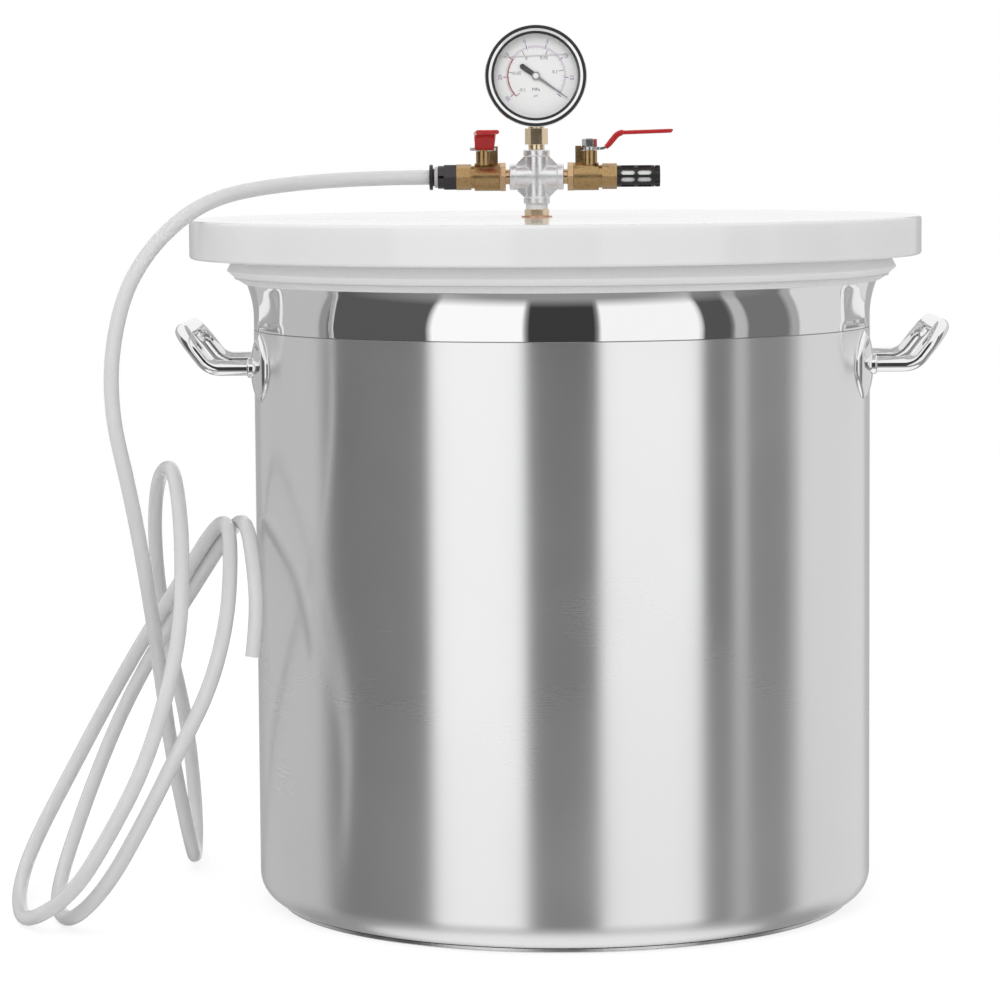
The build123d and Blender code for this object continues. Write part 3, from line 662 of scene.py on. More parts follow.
def edges_in(items: list) -> list[bmesh.types.BMEdge]:
    """The edges among what an operator gives back."""
    return [item for item in items if isinstance(item, bmesh.types.BMEdge)]


def corners_of(edges: list[bmesh.types.BMEdge]) -> list[bmesh.types.BMVert]:
    """The corners of a row of edges, each one once."""
    return list(dict.fromkeys(corner for edge in edges for corner in edge.verts))


def turned(points: list[Vector], place: Matrix, steps: int) -> bmesh.types.BMesh:
    """Turns an outline about an axis.

    Args:
        points: (radius, height) points; the outline is closed unless it starts and ends on the axis.
        place: Where the axis lies; height runs along its Z.
        steps: How many flat sides the full turn has.

    Returns:
        The turned shape.
    """
    shape = bmesh.new()
    corners = [shape.verts.new((point[0], 0, point[1])) for point in points]
    pairs = list(zip(corners, corners[1:]))
    if points[0][0] > 0 or points[-1][0] > 0:
        pairs.append((corners[-1], corners[0]))
    edges = [shape.edges.new(pair) for pair in pairs]
    bmesh.ops.spin(shape, geom=corners + edges, cent=(0, 0, 0), axis=(0, 0, 1), angle=math.tau, steps=steps,
                   use_merge=True, use_duplicate=False)
    bmesh.ops.remove_doubles(shape, verts=shape.verts, dist=1e-7)
    bmesh.ops.recalc_face_normals(shape, faces=shape.faces)
    shape.transform(place)
    return shape


def swept(section: list[Vector], moves: list[tuple[float, float, float, float]]) -> bmesh.types.BMesh:
    """Draws a closed section along straight runs and bends, from the origin towards +X and up.

    Args:
        section: The section's (across, up) points.
        moves: For each move its length, its turn upwards in radians, and the section's width and height at its end
            as shares of what they were before it.

    Returns:
        The closed shape.
    """
    shape = bmesh.new()
    corners = [shape.verts.new((0, *point)) for point in section]
    first = loop = [shape.edges.new(pair) for pair in zip(corners, corners[1:] + corners[:1])]
    place, heading = Vector(), 0.0
    for length, turn, wide, high in moves:
        ahead = Vector((math.cos(heading), 0, math.sin(heading)))
        geometry = corners_of(loop) + loop
        if turn:
            radius = length / turn
            centre = place + Vector((-math.sin(heading), 0, math.cos(heading))) * radius
            made = bmesh.ops.spin(shape, geom=geometry, cent=centre, axis=(0, -1, 0), angle=turn, steps=8)
            place = centre + Matrix.Rotation(-turn, 3, "Y") @ (place - centre)
            heading += turn
        else:
            made = bmesh.ops.spin(shape, geom=geometry, cent=place, axis=(0, 1, 0), dvec=ahead * length, steps=1)
            place = place + ahead * length
        loop = edges_in(made["geom_last"])
        if wide != 1.0 or high != 1.0:
            fit = Matrix.Translation(place) @ Matrix.Diagonal((1, wide, high, 1)) @ Matrix.Translation(-place)
            bmesh.ops.transform(shape, matrix=fit, verts=corners_of(loop))
    for end in (first, loop):
        bmesh.ops.contextual_create(shape, geom=end)
    bmesh.ops.recalc_face_normals(shape, faces=shape.faces)
    return shape


def slab(outline: list[Vector], low: float, high: float) -> bmesh.types.BMesh:
    """A flat slab.

    Args:
        outline: Its (x, y) corners in order.
        low: The height of its lower face.
        high: The height of its upper face.

    Returns:
        The slab's shape.
    """
    shape = bmesh.new()
    face = shape.faces.new([shape.verts.new((*point, low)) for point in outline])
    made = bmesh.ops.extrude_face_region(shape, geom=[face])["geom"]
    top = [item for item in made if isinstance(item, bmesh.types.BMVert)]
    bmesh.ops.translate(shape, vec=(0, 0, high - low), verts=top)
    bmesh.ops.recalc_face_normals(shape, faces=shape.faces)
    return shape


def trim(shape: bmesh.types.BMesh, at: Vector, beyond: Vector) -> None:
    """Cuts a shape off at a plane and closes the cut.

    Args:
        shape: The shape.
        at: A point on the plane.
        beyond: The direction of the side that goes.
    """
    parts = [*shape.verts, *shape.edges, *shape.faces]
    cut = bmesh.ops.bisect_plane(shape, geom=parts, dist=1e-6, plane_co=at, plane_no=beyond, clear_outer=True)
    bmesh.ops.contextual_create(shape, geom=edges_in(cut["geom_cut"]))


def take_in(shape: bmesh.types.BMesh, other: bmesh.types.BMesh) -> None:
    """Adds another shape to a shape and frees it.

    Args:
        shape: The shape that grows.
        other: The shape that is added.
    """
    mesh = bpy.data.meshes.new("taken_in")
    other.to_mesh(mesh)
    other.free()
    shape.from_mesh(mesh)
    bpy.data.meshes.remove(mesh)


def mesh_of(curve: bpy.types.Curve) -> bpy.types.Mesh:
    """Turns a curve or a text into a mesh.

    Args:
        curve: The curve or the text.

    Returns:
        The mesh that it draws.
    """
    holder = bpy.data.objects.new("drawn", curve)
    bpy.context.scene.collection.objects.link(holder)
    bpy.context.view_layer.update()
    mesh = bpy.data.meshes.new_from_object(holder)
    bpy.data.objects.remove(holder)
    return mesh


def form_of(node: str) -> bmesh.types.BMesh:
    """Copies a CAD node's form, with its corners joined and its flat faces whole.

    Args:
        node: The CAD node.

    Returns:
        The copy.
    """
    shape = bmesh.new()
    shape.from_mesh(NODES[node].data)
    bmesh.ops.remove_doubles(shape, verts=shape.verts, dist=SAME_PLACE)
    bmesh.ops.dissolve_limit(shape, angle_limit=SAME_SLOPE, verts=shape.verts, edges=shape.edges)
    return shape


def refined(node: str, finish: Finish, bevel: float = 0.0, sharp: float = 0.5) -> None:
    """Stands for a CAD node with the same form, its flat faces whole and its sharp edges broken.

    Args:
        node: The CAD node.
        finish: Its finish.
        bevel: The width of the broken edges in metres; 0 for none.
        sharp: The angle in radians over which an edge is broken, or stays sharp.
    """
    shape = form_of(node)
    if bevel:
        edges = [edge for edge in shape.edges if len(edge.link_faces) == 2 and edge.calc_face_angle(0.0) > sharp]
        bmesh.ops.bevel(shape, geom=edges, offset=bevel, offset_type="OFFSET", segments=2, profile=0.5,
                        affect="EDGES", clamp_overlap=True, material=-1)
    bmesh.ops.recalc_face_normals(shape, faces=shape.faces)
    stand_in(node, shape, finish, sharp)


def dressed(node: str, finish: Finish) -> None:
    """Gives a CAD node its finish and leaves its form as it is.

    Args:
        node: The CAD node.
        finish: Its finish.
    """
    NODES[node].data.materials.clear()
    NODES[node].data.materials.append(finish.material)


# ------------------------------------------------------------------------------------------------ pot
@dataclass
class Pot:
    """The stock pot with its base disc, rim seal and handles.

    Attributes:
        rim: How far the rim stands out from the wall.
        wall: The wall's thickness.
        corner: The bottom corner's outer radius.
        rim_edge: How far the rim's edge lies inside the seal.
        bend: The radius under the rim.
        flare: The wall's soft flare under the rim: how far out it comes, and how high it is.
        flare_round: The radius of the flare's curve.
        line: The height of the polished band's lower edge.
        groove: The depth of the fine groove along that edge.
        base_edge: The radius of the base disc's lower edge.
        pad: Each handle pad's thickness, half its width and half its height.
        pad_waist: The share by which a pad gets narrower towards its ends.
        pad_sunk: How deep a pad's middle lies in the wall.
        pad_place: How far each pad's middle is from the pot's middle plane.
        bead: The weld bead's radius, its depth and height about the rod's end, and its edge's radius.
        rod_place: How far each end of the handle's rod is from the same plane.
        seal_inside: How far the seal reaches inside the wall.
        seal_notch: How far out from the wall the notch under the rim starts and ends.
        seal_foot: How far out the lowest part of the seal reaches, and how far under the rim's top it lies.
        seal_hollow: How far out the hollow outside the foot lies, and how far under the rim's top.
        seal_lip: How far in the lip's slope goes, and how far it falls from the seal's top.
        seal_rounds: The radii at the foot, in the hollow, at the lip and at the top.
        sides: How many flat sides a full turn has.
    """

    rim: float = 12.0 * MM
    wall: float = 1.2 * MM
    corner: float = 18.0 * MM
    rim_edge: float = 3.5 * MM
    bend: float = 3.0 * MM
    flare: Span = (4.6 * MM, 13.0 * MM)
    flare_round: float = 60.0 * MM
    line: float = POLISH_LINE
    groove: float = 0.22 * MM
    base_edge: float = 1.0 * MM
    pad: Triple = (5.8 * MM, 18.5 * MM, 22.0 * MM)
    pad_waist: float = 0.18
    pad_sunk: float = 0.5 * MM
    pad_place: float = 55.0 * MM
    bead: tuple[float, float, float, float] = (6.4 * MM, 12.0 * MM, 0.4 * MM, 1.3 * MM)
    rod_place: float = 51.0 * MM
    seal_inside: float = 4.0 * MM
    seal_notch: Span = (5.2 * MM, 3.4 * MM)
    seal_foot: Span = (5.6 * MM, 4.6 * MM)
    seal_hollow: Span = (10.4 * MM, 1.6 * MM)
    seal_lip: Span = (4.2 * MM, 7.8 * MM)
    seal_rounds: tuple[float, float, float, float] = (1.2 * MM, 8.0 * MM, 0.7 * MM, 0.5 * MM)
    sides: int = 320

    @property
    def radius(self) -> float:
        """The wall's outer radius."""
        low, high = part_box("stock_pot")
        return (high.x - low.x) / 2 - self.rim

    def build(self) -> None:
        """Builds every piece of the pot."""
        self.shell()
        self.base()
        self.seal()
        for side in SIDES:
            refined(f"{side}_handle", Finish.MIRROR_STEEL, sharp=0.7)
            for place in ("front", "back"):
                self.handle_pad(f"{side}_{place}_handle_plate")

    def turn(self, node: str, outline: list[Vector], finish: Finish) -> None:
        """Turns an outline about the pot's axis, to stand for a CAD node.

        Args:
            node: The CAD node.
            outline: The outline's (radius, height) points.
            finish: The piece's finish.
        """
        stand_in(node, turned(outline, UPRIGHT, self.sides), finish, 0.5)

    def shell(self) -> None:
        """The drawn shell: bottom, corner, wall with the polished band's edge line, flare and turned-out rim."""
        low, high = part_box("stock_pot")
        radius, under_rim = self.radius, high.z - self.wall
        inner = radius - self.wall
        edge = radius + self.rim - self.rim_edge
        corners = [
            (0, low.z),
            (radius, low.z),
            (radius, self.line - 2 * self.groove),
            (radius - self.groove, self.line),
            (radius, self.line + 2 * self.groove),
            (radius, under_rim - self.bend - self.flare[1]),
            (radius + self.flare[0], under_rim - self.bend),
            (edge, under_rim),
            (edge, high.z),
            (inner, high.z),
            (inner, low.z + self.wall),
            (0, low.z + self.wall),
        ]
        rounds = {1: self.corner, 5: self.flare_round, 6: self.bend, 7: self.wall / 3, 8: self.wall / 3,
                  9: self.bend + self.wall, 10: self.corner - self.wall}
        self.turn("stock_pot", rounded(corners, rounds, 10), Finish.POT)

    def base(self) -> None:
        """The heat-spreading disc under the pot."""
        low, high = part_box("base_disc")
        self.turn("base_disc", drum(high.x, low.z, high.z, {1: self.base_edge}), Finish.BASE)

    def handle_pad(self, node: str) -> None:
        """A domed pad that carries one end of a handle, with a weld bead round the rod.

        Args:
            node: The pad's CAD node.
        """
        low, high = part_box(node)
        middle = (low + high) / 2
        out = math.copysign(1, middle.x)
        angle = math.copysign(math.asin(self.pad_place / self.radius), middle.y)
        pad = bmesh.new()
        bmesh.ops.create_uvsphere(pad, u_segments=48, v_segments=32, radius=1.0)
        for corner in pad.verts:
            corner.co.y *= 1 - self.pad_waist * corner.co.z**2
        pad.transform(
            Matrix.Translation((0, 0, middle.z))
            @ Matrix.Rotation(angle if out > 0 else math.pi - angle, 4, "Z")
            @ Matrix.Translation((self.radius - self.pad_sunk, 0, 0))
            @ Matrix.Diagonal((*self.pad, 1))
        )
        radius, depth, height, edge = self.bead
        end = Vector((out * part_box("right_handle")[0].x, math.copysign(self.rod_place, middle.y), middle.z))
        outwards = Matrix.Translation(end) @ Matrix.Rotation(out * math.pi / 2, 4, "Y")
        take_in(pad, turned(drum(radius, -depth, height, {2: edge}), outwards, 40))
        stand_in(node, pad, Finish.MIRROR_STEEL, 0.8)

    def seal(self) -> None:
        """The silicone seal on the rim: flat under the lid, a pointed lip outside and a soft underside."""
        wall, rim_top = self.radius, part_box("stock_pot")[1].z
        lip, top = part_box("rim_gasket")[1].x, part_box("rim_gasket")[1].z
        corners = [
            (wall - self.seal_inside, rim_top),
            (wall + self.rim, rim_top),
            (wall + self.rim, rim_top - self.wall),
            (wall + self.seal_notch[0], rim_top - self.wall),
            (wall + self.seal_notch[1], rim_top - self.seal_foot[1]),
            (wall + self.seal_foot[0], rim_top - self.seal_foot[1]),
            (wall + self.seal_hollow[0], rim_top - self.seal_hollow[1]),
            (lip, top - self.seal_lip[1]),
            (lip - self.seal_lip[0], top),
            (wall - self.seal_inside, top),
        ]
        self.turn("rim_gasket", rounded(corners, dict(enumerate(self.seal_rounds, 5))), Finish.SILICONE)


# ------------------------------------------------------------------------------------------------ lid
@dataclass
class Lid:
    """The acrylic lid with its port's washer, nipple and tape.

    Attributes:
        edge: The radius of the lid's edges.
        washer_edge: The width of the washer's broken edges.
        nipple_edge: The width of the nipple's machined edges.
        sides: How many flat sides its round has.
        tape_turns: How many ridges the tape shows.
        tape_steps: How many steps each ridge's curve has.
        tape_ridge: How high a ridge stands, halved.
        tape_bore: The tape's inner radius as a share of its outer one.
    """

    edge: float = 2.0 * MM
    washer_edge: float = 0.15 * MM
    nipple_edge: float = 0.35 * MM
    sides: int = 256
    tape_turns: int = 5
    tape_steps: int = 6
    tape_ridge: float = 0.12 * MM
    tape_bore: float = 0.7

    def build(self) -> None:
        """Builds the lid and the pieces in its port."""
        self.sheet()
        refined("nipple_washer", Finish.COPPER, self.washer_edge)
        refined("lid_nipple", Finish.NIPPLE_BRASS, self.nipple_edge)
        self.tape()

    def sheet(self) -> None:
        """The round sheet with rounded edges; the washer and the nipple cover its port."""
        low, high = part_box("lid")
        centre = (high.x + low.x) / 2
        outline = drum(high.x - centre, low.z, high.z, {1: self.edge, 2: self.edge}, 8)
        stand_in("lid", turned(outline, Matrix.Translation((centre, 0, 0)), self.sides), Finish.LID, 0.7)

    def tape(self) -> None:
        """Sealing tape wound round the nipple's thread, with a soft ridge at each turn."""
        low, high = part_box("nipple_tape")
        centre = (low + high) / 2
        outer, height = (high.x - low.x) / 2, high.z - low.z
        steps = self.tape_turns * self.tape_steps
        side = [
            Vector((outer - self.tape_ridge * (1 + math.cos(math.tau * step / self.tape_steps)), height * step / steps))
            for step in range(steps + 1)
        ]
        points = [Vector((outer * self.tape_bore, 0)), *side, Vector((outer * self.tape_bore, height))]
        tape = turned(points, Matrix.Translation((centre.x, centre.y, low.z)), 64)
        stand_in("nipple_tape", tape, Finish.TAPE, 1.0)


# ------------------------------------------------------------------------------------------------ manifold
@dataclass
class Manifold:
    """The cross with its two ball valves.

    Attributes:
        cast_edge: The softness of the cast edges.
        cut_edge: The width of the machined edges.
        cut_angle: The angle in radians over which a valve's edge is machined.
        stem_edge: The width of the stem's broken edges.
        nut_edge: The width of the nut's broken edges.
        headings: Where each side's lever points at rest, in degrees from +X.
        strip: The lever strip's width and thickness.
        strip_edge: The radius of the strip's edges.
        strip_foot: Where the strip leaves the lever's round plate, from the stem's axis.
        strip_bend: The radius of the strip's bends.
        strip_slope: The slope's angle.
        strip_rise: The slope's straight length.
        blade_tilt: How far the blade tilts up.
        blade: The blade's length.
        dip: The grip's thickness on the strip.
        grip_edge: The radius of the grip's edges.
        grip_start: Where the grip starts, as a share of the first bend.
        grip_lean: How far its start leans, as a rise for each unit along.
        grip_swell: The grip's width and height after each part of the slope, as shares of what they were before.
        grip_widening: How much wider than at its start the grip is on the blade.
        grip_nose: The steps of the rounded nose: each one's length, width and height, the last two as shares.
    """

    cast_edge: float = 0.35 * MM
    cut_edge: float = 0.3 * MM
    cut_angle: float = 0.45
    stem_edge: float = 0.2 * MM
    nut_edge: float = 0.25 * MM
    headings: Span = (-86.0, 0.0)
    strip: Span = (12.4 * MM, 2.0 * MM)
    strip_edge: float = 0.4 * MM
    strip_foot: float = 7.1 * MM
    strip_bend: float = 7.0 * MM
    strip_slope: float = math.radians(50.0)
    strip_rise: float = 6.7 * MM
    blade_tilt: float = math.radians(1.7)
    blade: float = 28.6 * MM
    dip: float = 0.6 * MM
    grip_edge: float = 1.2 * MM
    grip_start: float = 0.75
    grip_lean: float = 0.6
    grip_swell: tuple[Span, ...] = ((1.0, 1.3), (1.08, 1.1), (1.09, 0.7), (1.0, 1.0))
    grip_widening: float = 1.177
    grip_nose: tuple[Triple, ...] = (
        (1.3 * MM, 0.96, 1.0), (1.1 * MM, 0.88, 0.96), (0.7 * MM, 0.82, 0.8), (0.3 * MM, 0.85, 0.5),
    )

    def build(self) -> None:
        """Builds the cross and both valves."""
        refined("cross_fitting", Finish.ALUMINIUM, self.cast_edge)
        for side, heading in zip(SIDES, self.headings):
            refined(f"{side}_valve_body", Finish.VALVE_BRASS, self.cut_edge, self.cut_angle)
            refined(f"{side}_valve_end", Finish.BRASS, self.cut_edge, self.cut_angle)
            refined(f"{side}_valve_stem", Finish.BRASS, self.stem_edge)
            self.lever(side, math.radians(heading))
            refined(f"{side}_lever_nut", Finish.LEVER_STEEL, self.nut_edge)
            dressed(f"{side}_valve_ball", Finish.MIRROR_STEEL)
            for soft in ("inner_ball_seat", "outer_ball_seat", "stem_packing"):
                dressed(f"{side}_{soft}", Finish.TAPE)

    def lever(self, side: str, heading: float) -> None:
        """The pressed lever, its round plate as the CAD has it and its strip bent smoothly, and the dipped grip.

        Args:
            side: The name of the side that it is on.
            heading: Where it points at rest, in radians from +X.
        """
        low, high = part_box(f"{side}_valve_stem")
        stem = (low + high) / 2
        node = f"{side}_valve_lever"
        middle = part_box(node)[0].z + self.strip[1] / 2
        place = (
            Matrix.Translation((stem.x, stem.y, middle))
            @ Matrix.Rotation(heading, 4, "Z")
            @ Matrix.Translation((self.strip_foot, 0, 0))
        )
        lift = self.strip_slope - self.blade_tilt
        path = ((self.strip_bend * self.strip_slope, self.strip_slope), (self.strip_rise, 0.0),
                (self.strip_bend * lift, -lift), (self.blade, 0.0))
        strip = swept(self.section(*self.strip, self.strip_edge), [(*move, 1, 1) for move in path])
        strip.transform(place)
        lever = form_of(node)
        trim(lever, place.to_translation(), place.to_3x3() @ Vector((1, 0, 0)))
        take_in(lever, strip)
        stand_in(node, lever, Finish.LEVER_STEEL)
        self.grip(f"{side}_lever_grip", path, place)

    def grip(self, node: str, path: tuple[Span, ...], place: Matrix) -> None:
        """The grip, dipped over the lever's strip.

        Args:
            node: The grip's CAD node.
            path: The strip's moves: each one's length and its turn upwards.
            place: The place of the strip's foot.
        """
        low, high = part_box("right_lever_grip")
        section = self.section((high.y - low.y) / self.grip_widening, self.strip[1] + 2 * self.dip, self.grip_edge)
        moves = [(*move, *swell) for move, swell in zip(path, self.grip_swell)]
        grip = swept(section, moves + [(length, 0.0, wide, high) for length, wide, high in self.grip_nose])
        grip.transform(place)
        start = place @ Vector((self.strip_bend * math.sin(self.strip_slope) * self.grip_start, 0, 0))
        trim(grip, start, place.to_3x3() @ Vector((-1, 0, -self.grip_lean)))
        bmesh.ops.recalc_face_normals(grip, faces=grip.faces)
        stand_in(node, grip, Finish.GRIP, 0.9)

    @staticmethod
    def section(wide: float, high: float, edge: float) -> list[Vector]:
        """A flat bar's section with rounded edges, about its middle."""
        corners = [(-wide / 2, -high / 2), (wide / 2, -high / 2), (wide / 2, high / 2), (-wide / 2, high / 2)]
        return rounded(corners, {corner: edge for corner in range(4)}, 5)


# ------------------------------------------------------------------------------------------------ hose
@dataclass
class HoseLine:
    """The push-in fitting and the free hose.

    Attributes:
        diameter: The hose's outer diameter.
        bore: The hose's inner diameter.
        length: The hose's length from the fitting's mouth; not used.
        fitting_edge: The width of the fitting's machined edges.
        collar_edge: The width of the collar's moulded edges.
        ring_edge: The width of the release ring's moulded edges.
        route: The points that the hose's centreline is drawn through, in millimetres.
    """

    diameter: float = 9.5 * MM
    bore: float = 6.5 * MM
    length: float = 3.01
    fitting_edge: float = 0.3 * MM
    collar_edge: float = 0.25 * MM
    ring_edge: float = 0.15 * MM
    route: list[Triple] = field(default_factory=lambda: [
        (-85, 0, 472), (-126, 0, 472), (-187, -40, 468), (-225, -86, 459), (-255, -116, 432),
        (-274, -130, 396), (-281, -134, 338), (-268, -126, 275), (-262, -92, 213), (-261, -36, 153),
        (-261, 24, 92), (-252, 72, 12), (-255, 126, 5), (-259, 168, 34), (-265, 174, 92),
        (-276, 138, 161), (-277, 86, 226), (-269, 34, 274), (-253, -24, 290), (-243, -74, 265),
        (-239, -106, 227), (-239, -130, 190), (-247, -148, 150), (-261, -156, 108), (-281, -158, 70),
        (-306, -148, 30), (-340, -114, 5), (-354, -56, 5), (-359, 8, 16), (-353, 60, 36),
        (-338, 92, 66), (-314, 102, 111), (-284, 86, 162), (-252, 50, 209), (-228, 10, 245),
        (-216, -34, 252), (-211, -76, 231), (-211, -108, 196), (-220, -134, 157), (-240, -147, 118),
        (-260, -152, 78), (-285, -147, 34), (-312, -120, 6), (-328, -64, 5), (-333, 4, 14),
        (-328, 58, 39), (-318, 88, 70), (-301, 98, 111), (-276, 88, 156), (-244, 54, 204),
        (-216, 6, 246), (-203, -48, 254), (-195, -92, 229), (-192, -108, 200), (-195, -113, 174),
    ])

    def build(self) -> None:
        """Builds the fitting and lays the hose."""
        refined("left_push_fitting", Finish.BLACK_NICKEL, self.fitting_edge)
        refined("left_fitting_collar", Finish.COLLAR, self.collar_edge)
        refined("left_release_ring", Finish.BLACK_PLASTIC, self.ring_edge)
        dressed("left_tube_seal", Finish.RUBBER)
        dressed("left_grab_ring", Finish.SPRING)
        self.hose()

    def drawn(self, radius: float) -> bpy.types.Mesh:
        """The route as a mesh.

        Args:
            radius: The tube's radius round the centreline; 0 gives the bare line.

        Returns:
            The mesh of the line or of the tube's open wall.
        """
        curve = bpy.data.curves.new("hose_route", "CURVE")
        curve.dimensions = "3D"
        curve.resolution_u = 10
        spline = curve.splines.new("NURBS")
        spline.points.add(len(self.route) - 1)
        for point, place in zip(spline.points, self.route):
            point.co = (*(value * MM for value in place), 1.0)
        spline.order_u = 3
        spline.use_endpoint_u = True
        curve.bevel_depth = radius
        curve.bevel_resolution = 6
        return mesh_of(curve)

    def hose(self) -> None:
        """The hose: an outer wall, a bore and a square cut at each end."""
        line = [vertex.co.copy() for vertex in self.drawn(0.0).vertices]
        shape = bmesh.new()
        for across in (self.diameter, self.bore):
            shape.from_mesh(self.drawn(across / 2))
        for end in (line[0], line[-1]):
            near = [edge for edge in shape.edges
                    if edge.is_boundary and (edge.verts[0].co - end).length < self.diameter]
            bmesh.ops.bridge_loops(shape, edges=near)
        bmesh.ops.recalc_face_normals(shape, faces=shape.faces)
        piece = stand_in("hose", shape, Finish.HOSE, 0.8)


# ------------------------------------------------------------------------------------------------ silencer
@dataclass
class Silencer:
    """The slotted silencer on the right valve.

    Attributes:
        slot_edge: The width of the cage's moulded edges.
    """

    slot_edge: float = 0.12 * MM

    def build(self) -> None:
        """Dresses the cage and the porous sleeve."""
        refined("silencer_cage", Finish.BLACK_PLASTIC, self.slot_edge, 0.7)
        refined("silencer_element", Finish.ELEMENT)


# ------------------------------------------------------------------------------------------------ gauge
@dataclass(frozen=True)
class Scale:
    """One of the dial's two scales.

    Attributes:
        start: Its first angle in degrees, counter-clockwise from the right.
        step: The angle between its long marks.
        every: How many tenths of that step lie between two marks.
        long: A long mark's length and width; a negative length runs inwards.
        short: A short mark's length and width.
        words: Its numbers.
        text: How high they are, and how far out from the scale's line.
        upright: Whether the numbers stand upright, not along the scale.
    """

    start: float
    step: float
    every: int
    long: Span
    short: Span
    words: tuple[str, ...]
    text: Span
    upright: bool


@dataclass
class Gauge:
    """The filled gauge: case, bezel, window, printed dial and pointer.

    Attributes:
        crimp: How far the case's wall lies inside the bezel.
        sight: The radius of the bezel's opening.
        flat: The width of the bezel's flat front.
        slope: The width of the slope from the opening up to the flat, and how far under the front it starts.
        drop: How far under the front the opening's edge and the ring's back lie.
        ring_rounds: The radii of the ring's outer corners, back and front, and of its inner ones.
        stem_edge: The width of the stem's machined edges.
        plug_drop: How far the filling plug's top lies under the bezel's.
        plug_edge: The radius of the plug's edge.
        line: The radius of the line that both scales stand on.
        sweep: The angle from the first to the last mark.
        arc_width: The width of the red arc.
        outer: The outer scale.
        inner: The inner scale.
        units: The names of the two scales' units: each one's height, and how far under the centre it is.
        lift: How far print stands off the dial.
        fill: The height of the filling's surface over the gauge's centre.
        fill_reach: How far the surface reaches from the gauge's axis.
        fill_tilt: How far the surface tilts, in degrees.
        fill_line: The surface line's thickness, and how far in front of the dial it starts.
        fill_depth: How much of the room up to the window it takes, as a share.
        needle_angle: Where the needle points at rest, in degrees counter-clockwise from the right.
        needle: The needle's length, and its half width at the hub and at the tip.
        tail: The counterweight's length and half width.
        tail_neck: Its half width at the hub, as a share.
        tail_round: The radius of its end's corners, as a share of its half width.
        thick: The thickness of the needle and of the counterweight.
        hub: The radius and the height of the hub's ring and of its cap.
        hub_edge: The radius of their edges.
        foot: How far the pointer's underside is over the dial.
    """

    crimp: float = 1.8 * MM
    sight: float = 26.8 * MM
    flat: float = 2.5 * MM
    slope: Span = (1.9 * MM, 0.6 * MM)
    drop: Span = (0.8 * MM, 1.2 * MM)
    ring_rounds: Triple = (0.4 * MM, 0.5 * MM, 0.15 * MM)
    stem_edge: float = 0.4 * MM
    plug_drop: float = 1.0 * MM
    plug_edge: float = 0.4 * MM
    line: float = 18.0 * MM
    sweep: float = 259.0
    arc_width: float = 0.7 * MM
    outer: Scale = Scale(219.0, 37.0, 1, (3.0 * MM, 0.55 * MM), (1.6 * MM, 0.3 * MM),
                         ("30", "20", "10", "0", "5", "10", "15"), (3.6 * MM, 5.0 * MM), False)
    inner: Scale = Scale(226.0, 53.65, 2, (-3.0 * MM, 0.35 * MM), (-1.2 * MM, 0.12 * MM),
                         ("-0.1", "-0.05", "0", "0.05", "0.1"), (3.0 * MM, -5.4 * MM), True)
    units: tuple[tuple[str, float, float], ...] = (("MPa", 3.0 * MM, 8.8 * MM), ("psi", 2.4 * MM, 12.6 * MM))
    lift: float = 0.04 * MM
    fill: float = 13.0 * MM
    fill_reach: float = 27.5 * MM
    fill_tilt: float = 2.2
    fill_line: Span = (0.2 * MM, 0.1 * MM)
    fill_depth: float = 0.3
    needle_angle: float = -35.0
    needle: Triple = (24.6 * MM, 1.05 * MM, 0.2 * MM)
    tail: Span = (12.2 * MM, 1.8 * MM)
    tail_neck: float = 0.8
    tail_round: float = 0.95
    thick: Span = (0.3 * MM, 0.4 * MM)
    hub: tuple[Span, Span] = ((2.65 * MM, 0.6 * MM), (1.8 * MM, 0.9 * MM))
    hub_edge: float = 0.2 * MM
    foot: float = 0.8 * MM

    def __post_init__(self) -> None:
        """Finds the gauge's place from its bezel."""
        low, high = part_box("gauge_bezel")
        self.bezel = (high.x - low.x) / 2
        self.front, self.back = -low.y, -high.y
        self.centre = Vector(((low.x + high.x) / 2, 0, (low.z + high.z) / 2))
        self.place = Matrix.Translation(self.centre) @ Matrix.Rotation(math.radians(90), 4, "X")
        self.face = -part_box("gauge_dial")[0].y

    def build(self) -> None:
        """Builds every piece of the gauge."""
        refined("gauge_case", Finish.MIRROR_STEEL, sharp=0.6)
        self.ring()
        refined("gauge_window", Finish.WINDOW)
        refined("gauge_dial", Finish.DIAL)
        refined("gauge_stem", Finish.NIPPLE_BRASS, self.stem_edge)
        self.fill_plug()
        self.pointer()
        for inside in ("movement_frame", "movement_plate", "bourdon_tube"):
            dressed(inside, Finish.BRASS)
        self.marks()
        self.filling()

    def ring(self) -> None:
        """The crimped bezel ring, with a rolled rim and a step down to the window."""
        case = self.bezel - self.crimp
        corners = [
            (case, self.back),
            (self.bezel, self.back),
            (self.bezel, self.front),
            (self.bezel - self.flat, self.front),
            (self.sight + self.slope[0], self.front - self.slope[1]),
            (self.sight, self.front - self.drop[0]),
            (self.sight, self.front - self.drop[1]),
            (case, self.front - self.drop[1]),
        ]
        back, front, inner = self.ring_rounds
        outline = rounded(corners, {1: back, 2: front, 3: inner, 4: inner, 5: inner})
        stand_in("gauge_bezel", turned(outline, self.place, 160), Finish.MIRROR_STEEL)

    def fill_plug(self) -> None:
        """The rubber plug in the case's filling hole, pressed in flush behind the bezel."""
        low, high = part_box("gauge_fill_plug")
        top = self.centre.z + self.bezel - self.plug_drop
        place = Matrix.Translation(((low.x + high.x) / 2, (low.y + high.y) / 2, 0))
        outline = drum((high.x - low.x) / 2, low.z, top, {2: self.plug_edge})
        stand_in("gauge_fill_plug", turned(outline, place, 40), Finish.RUBBER)

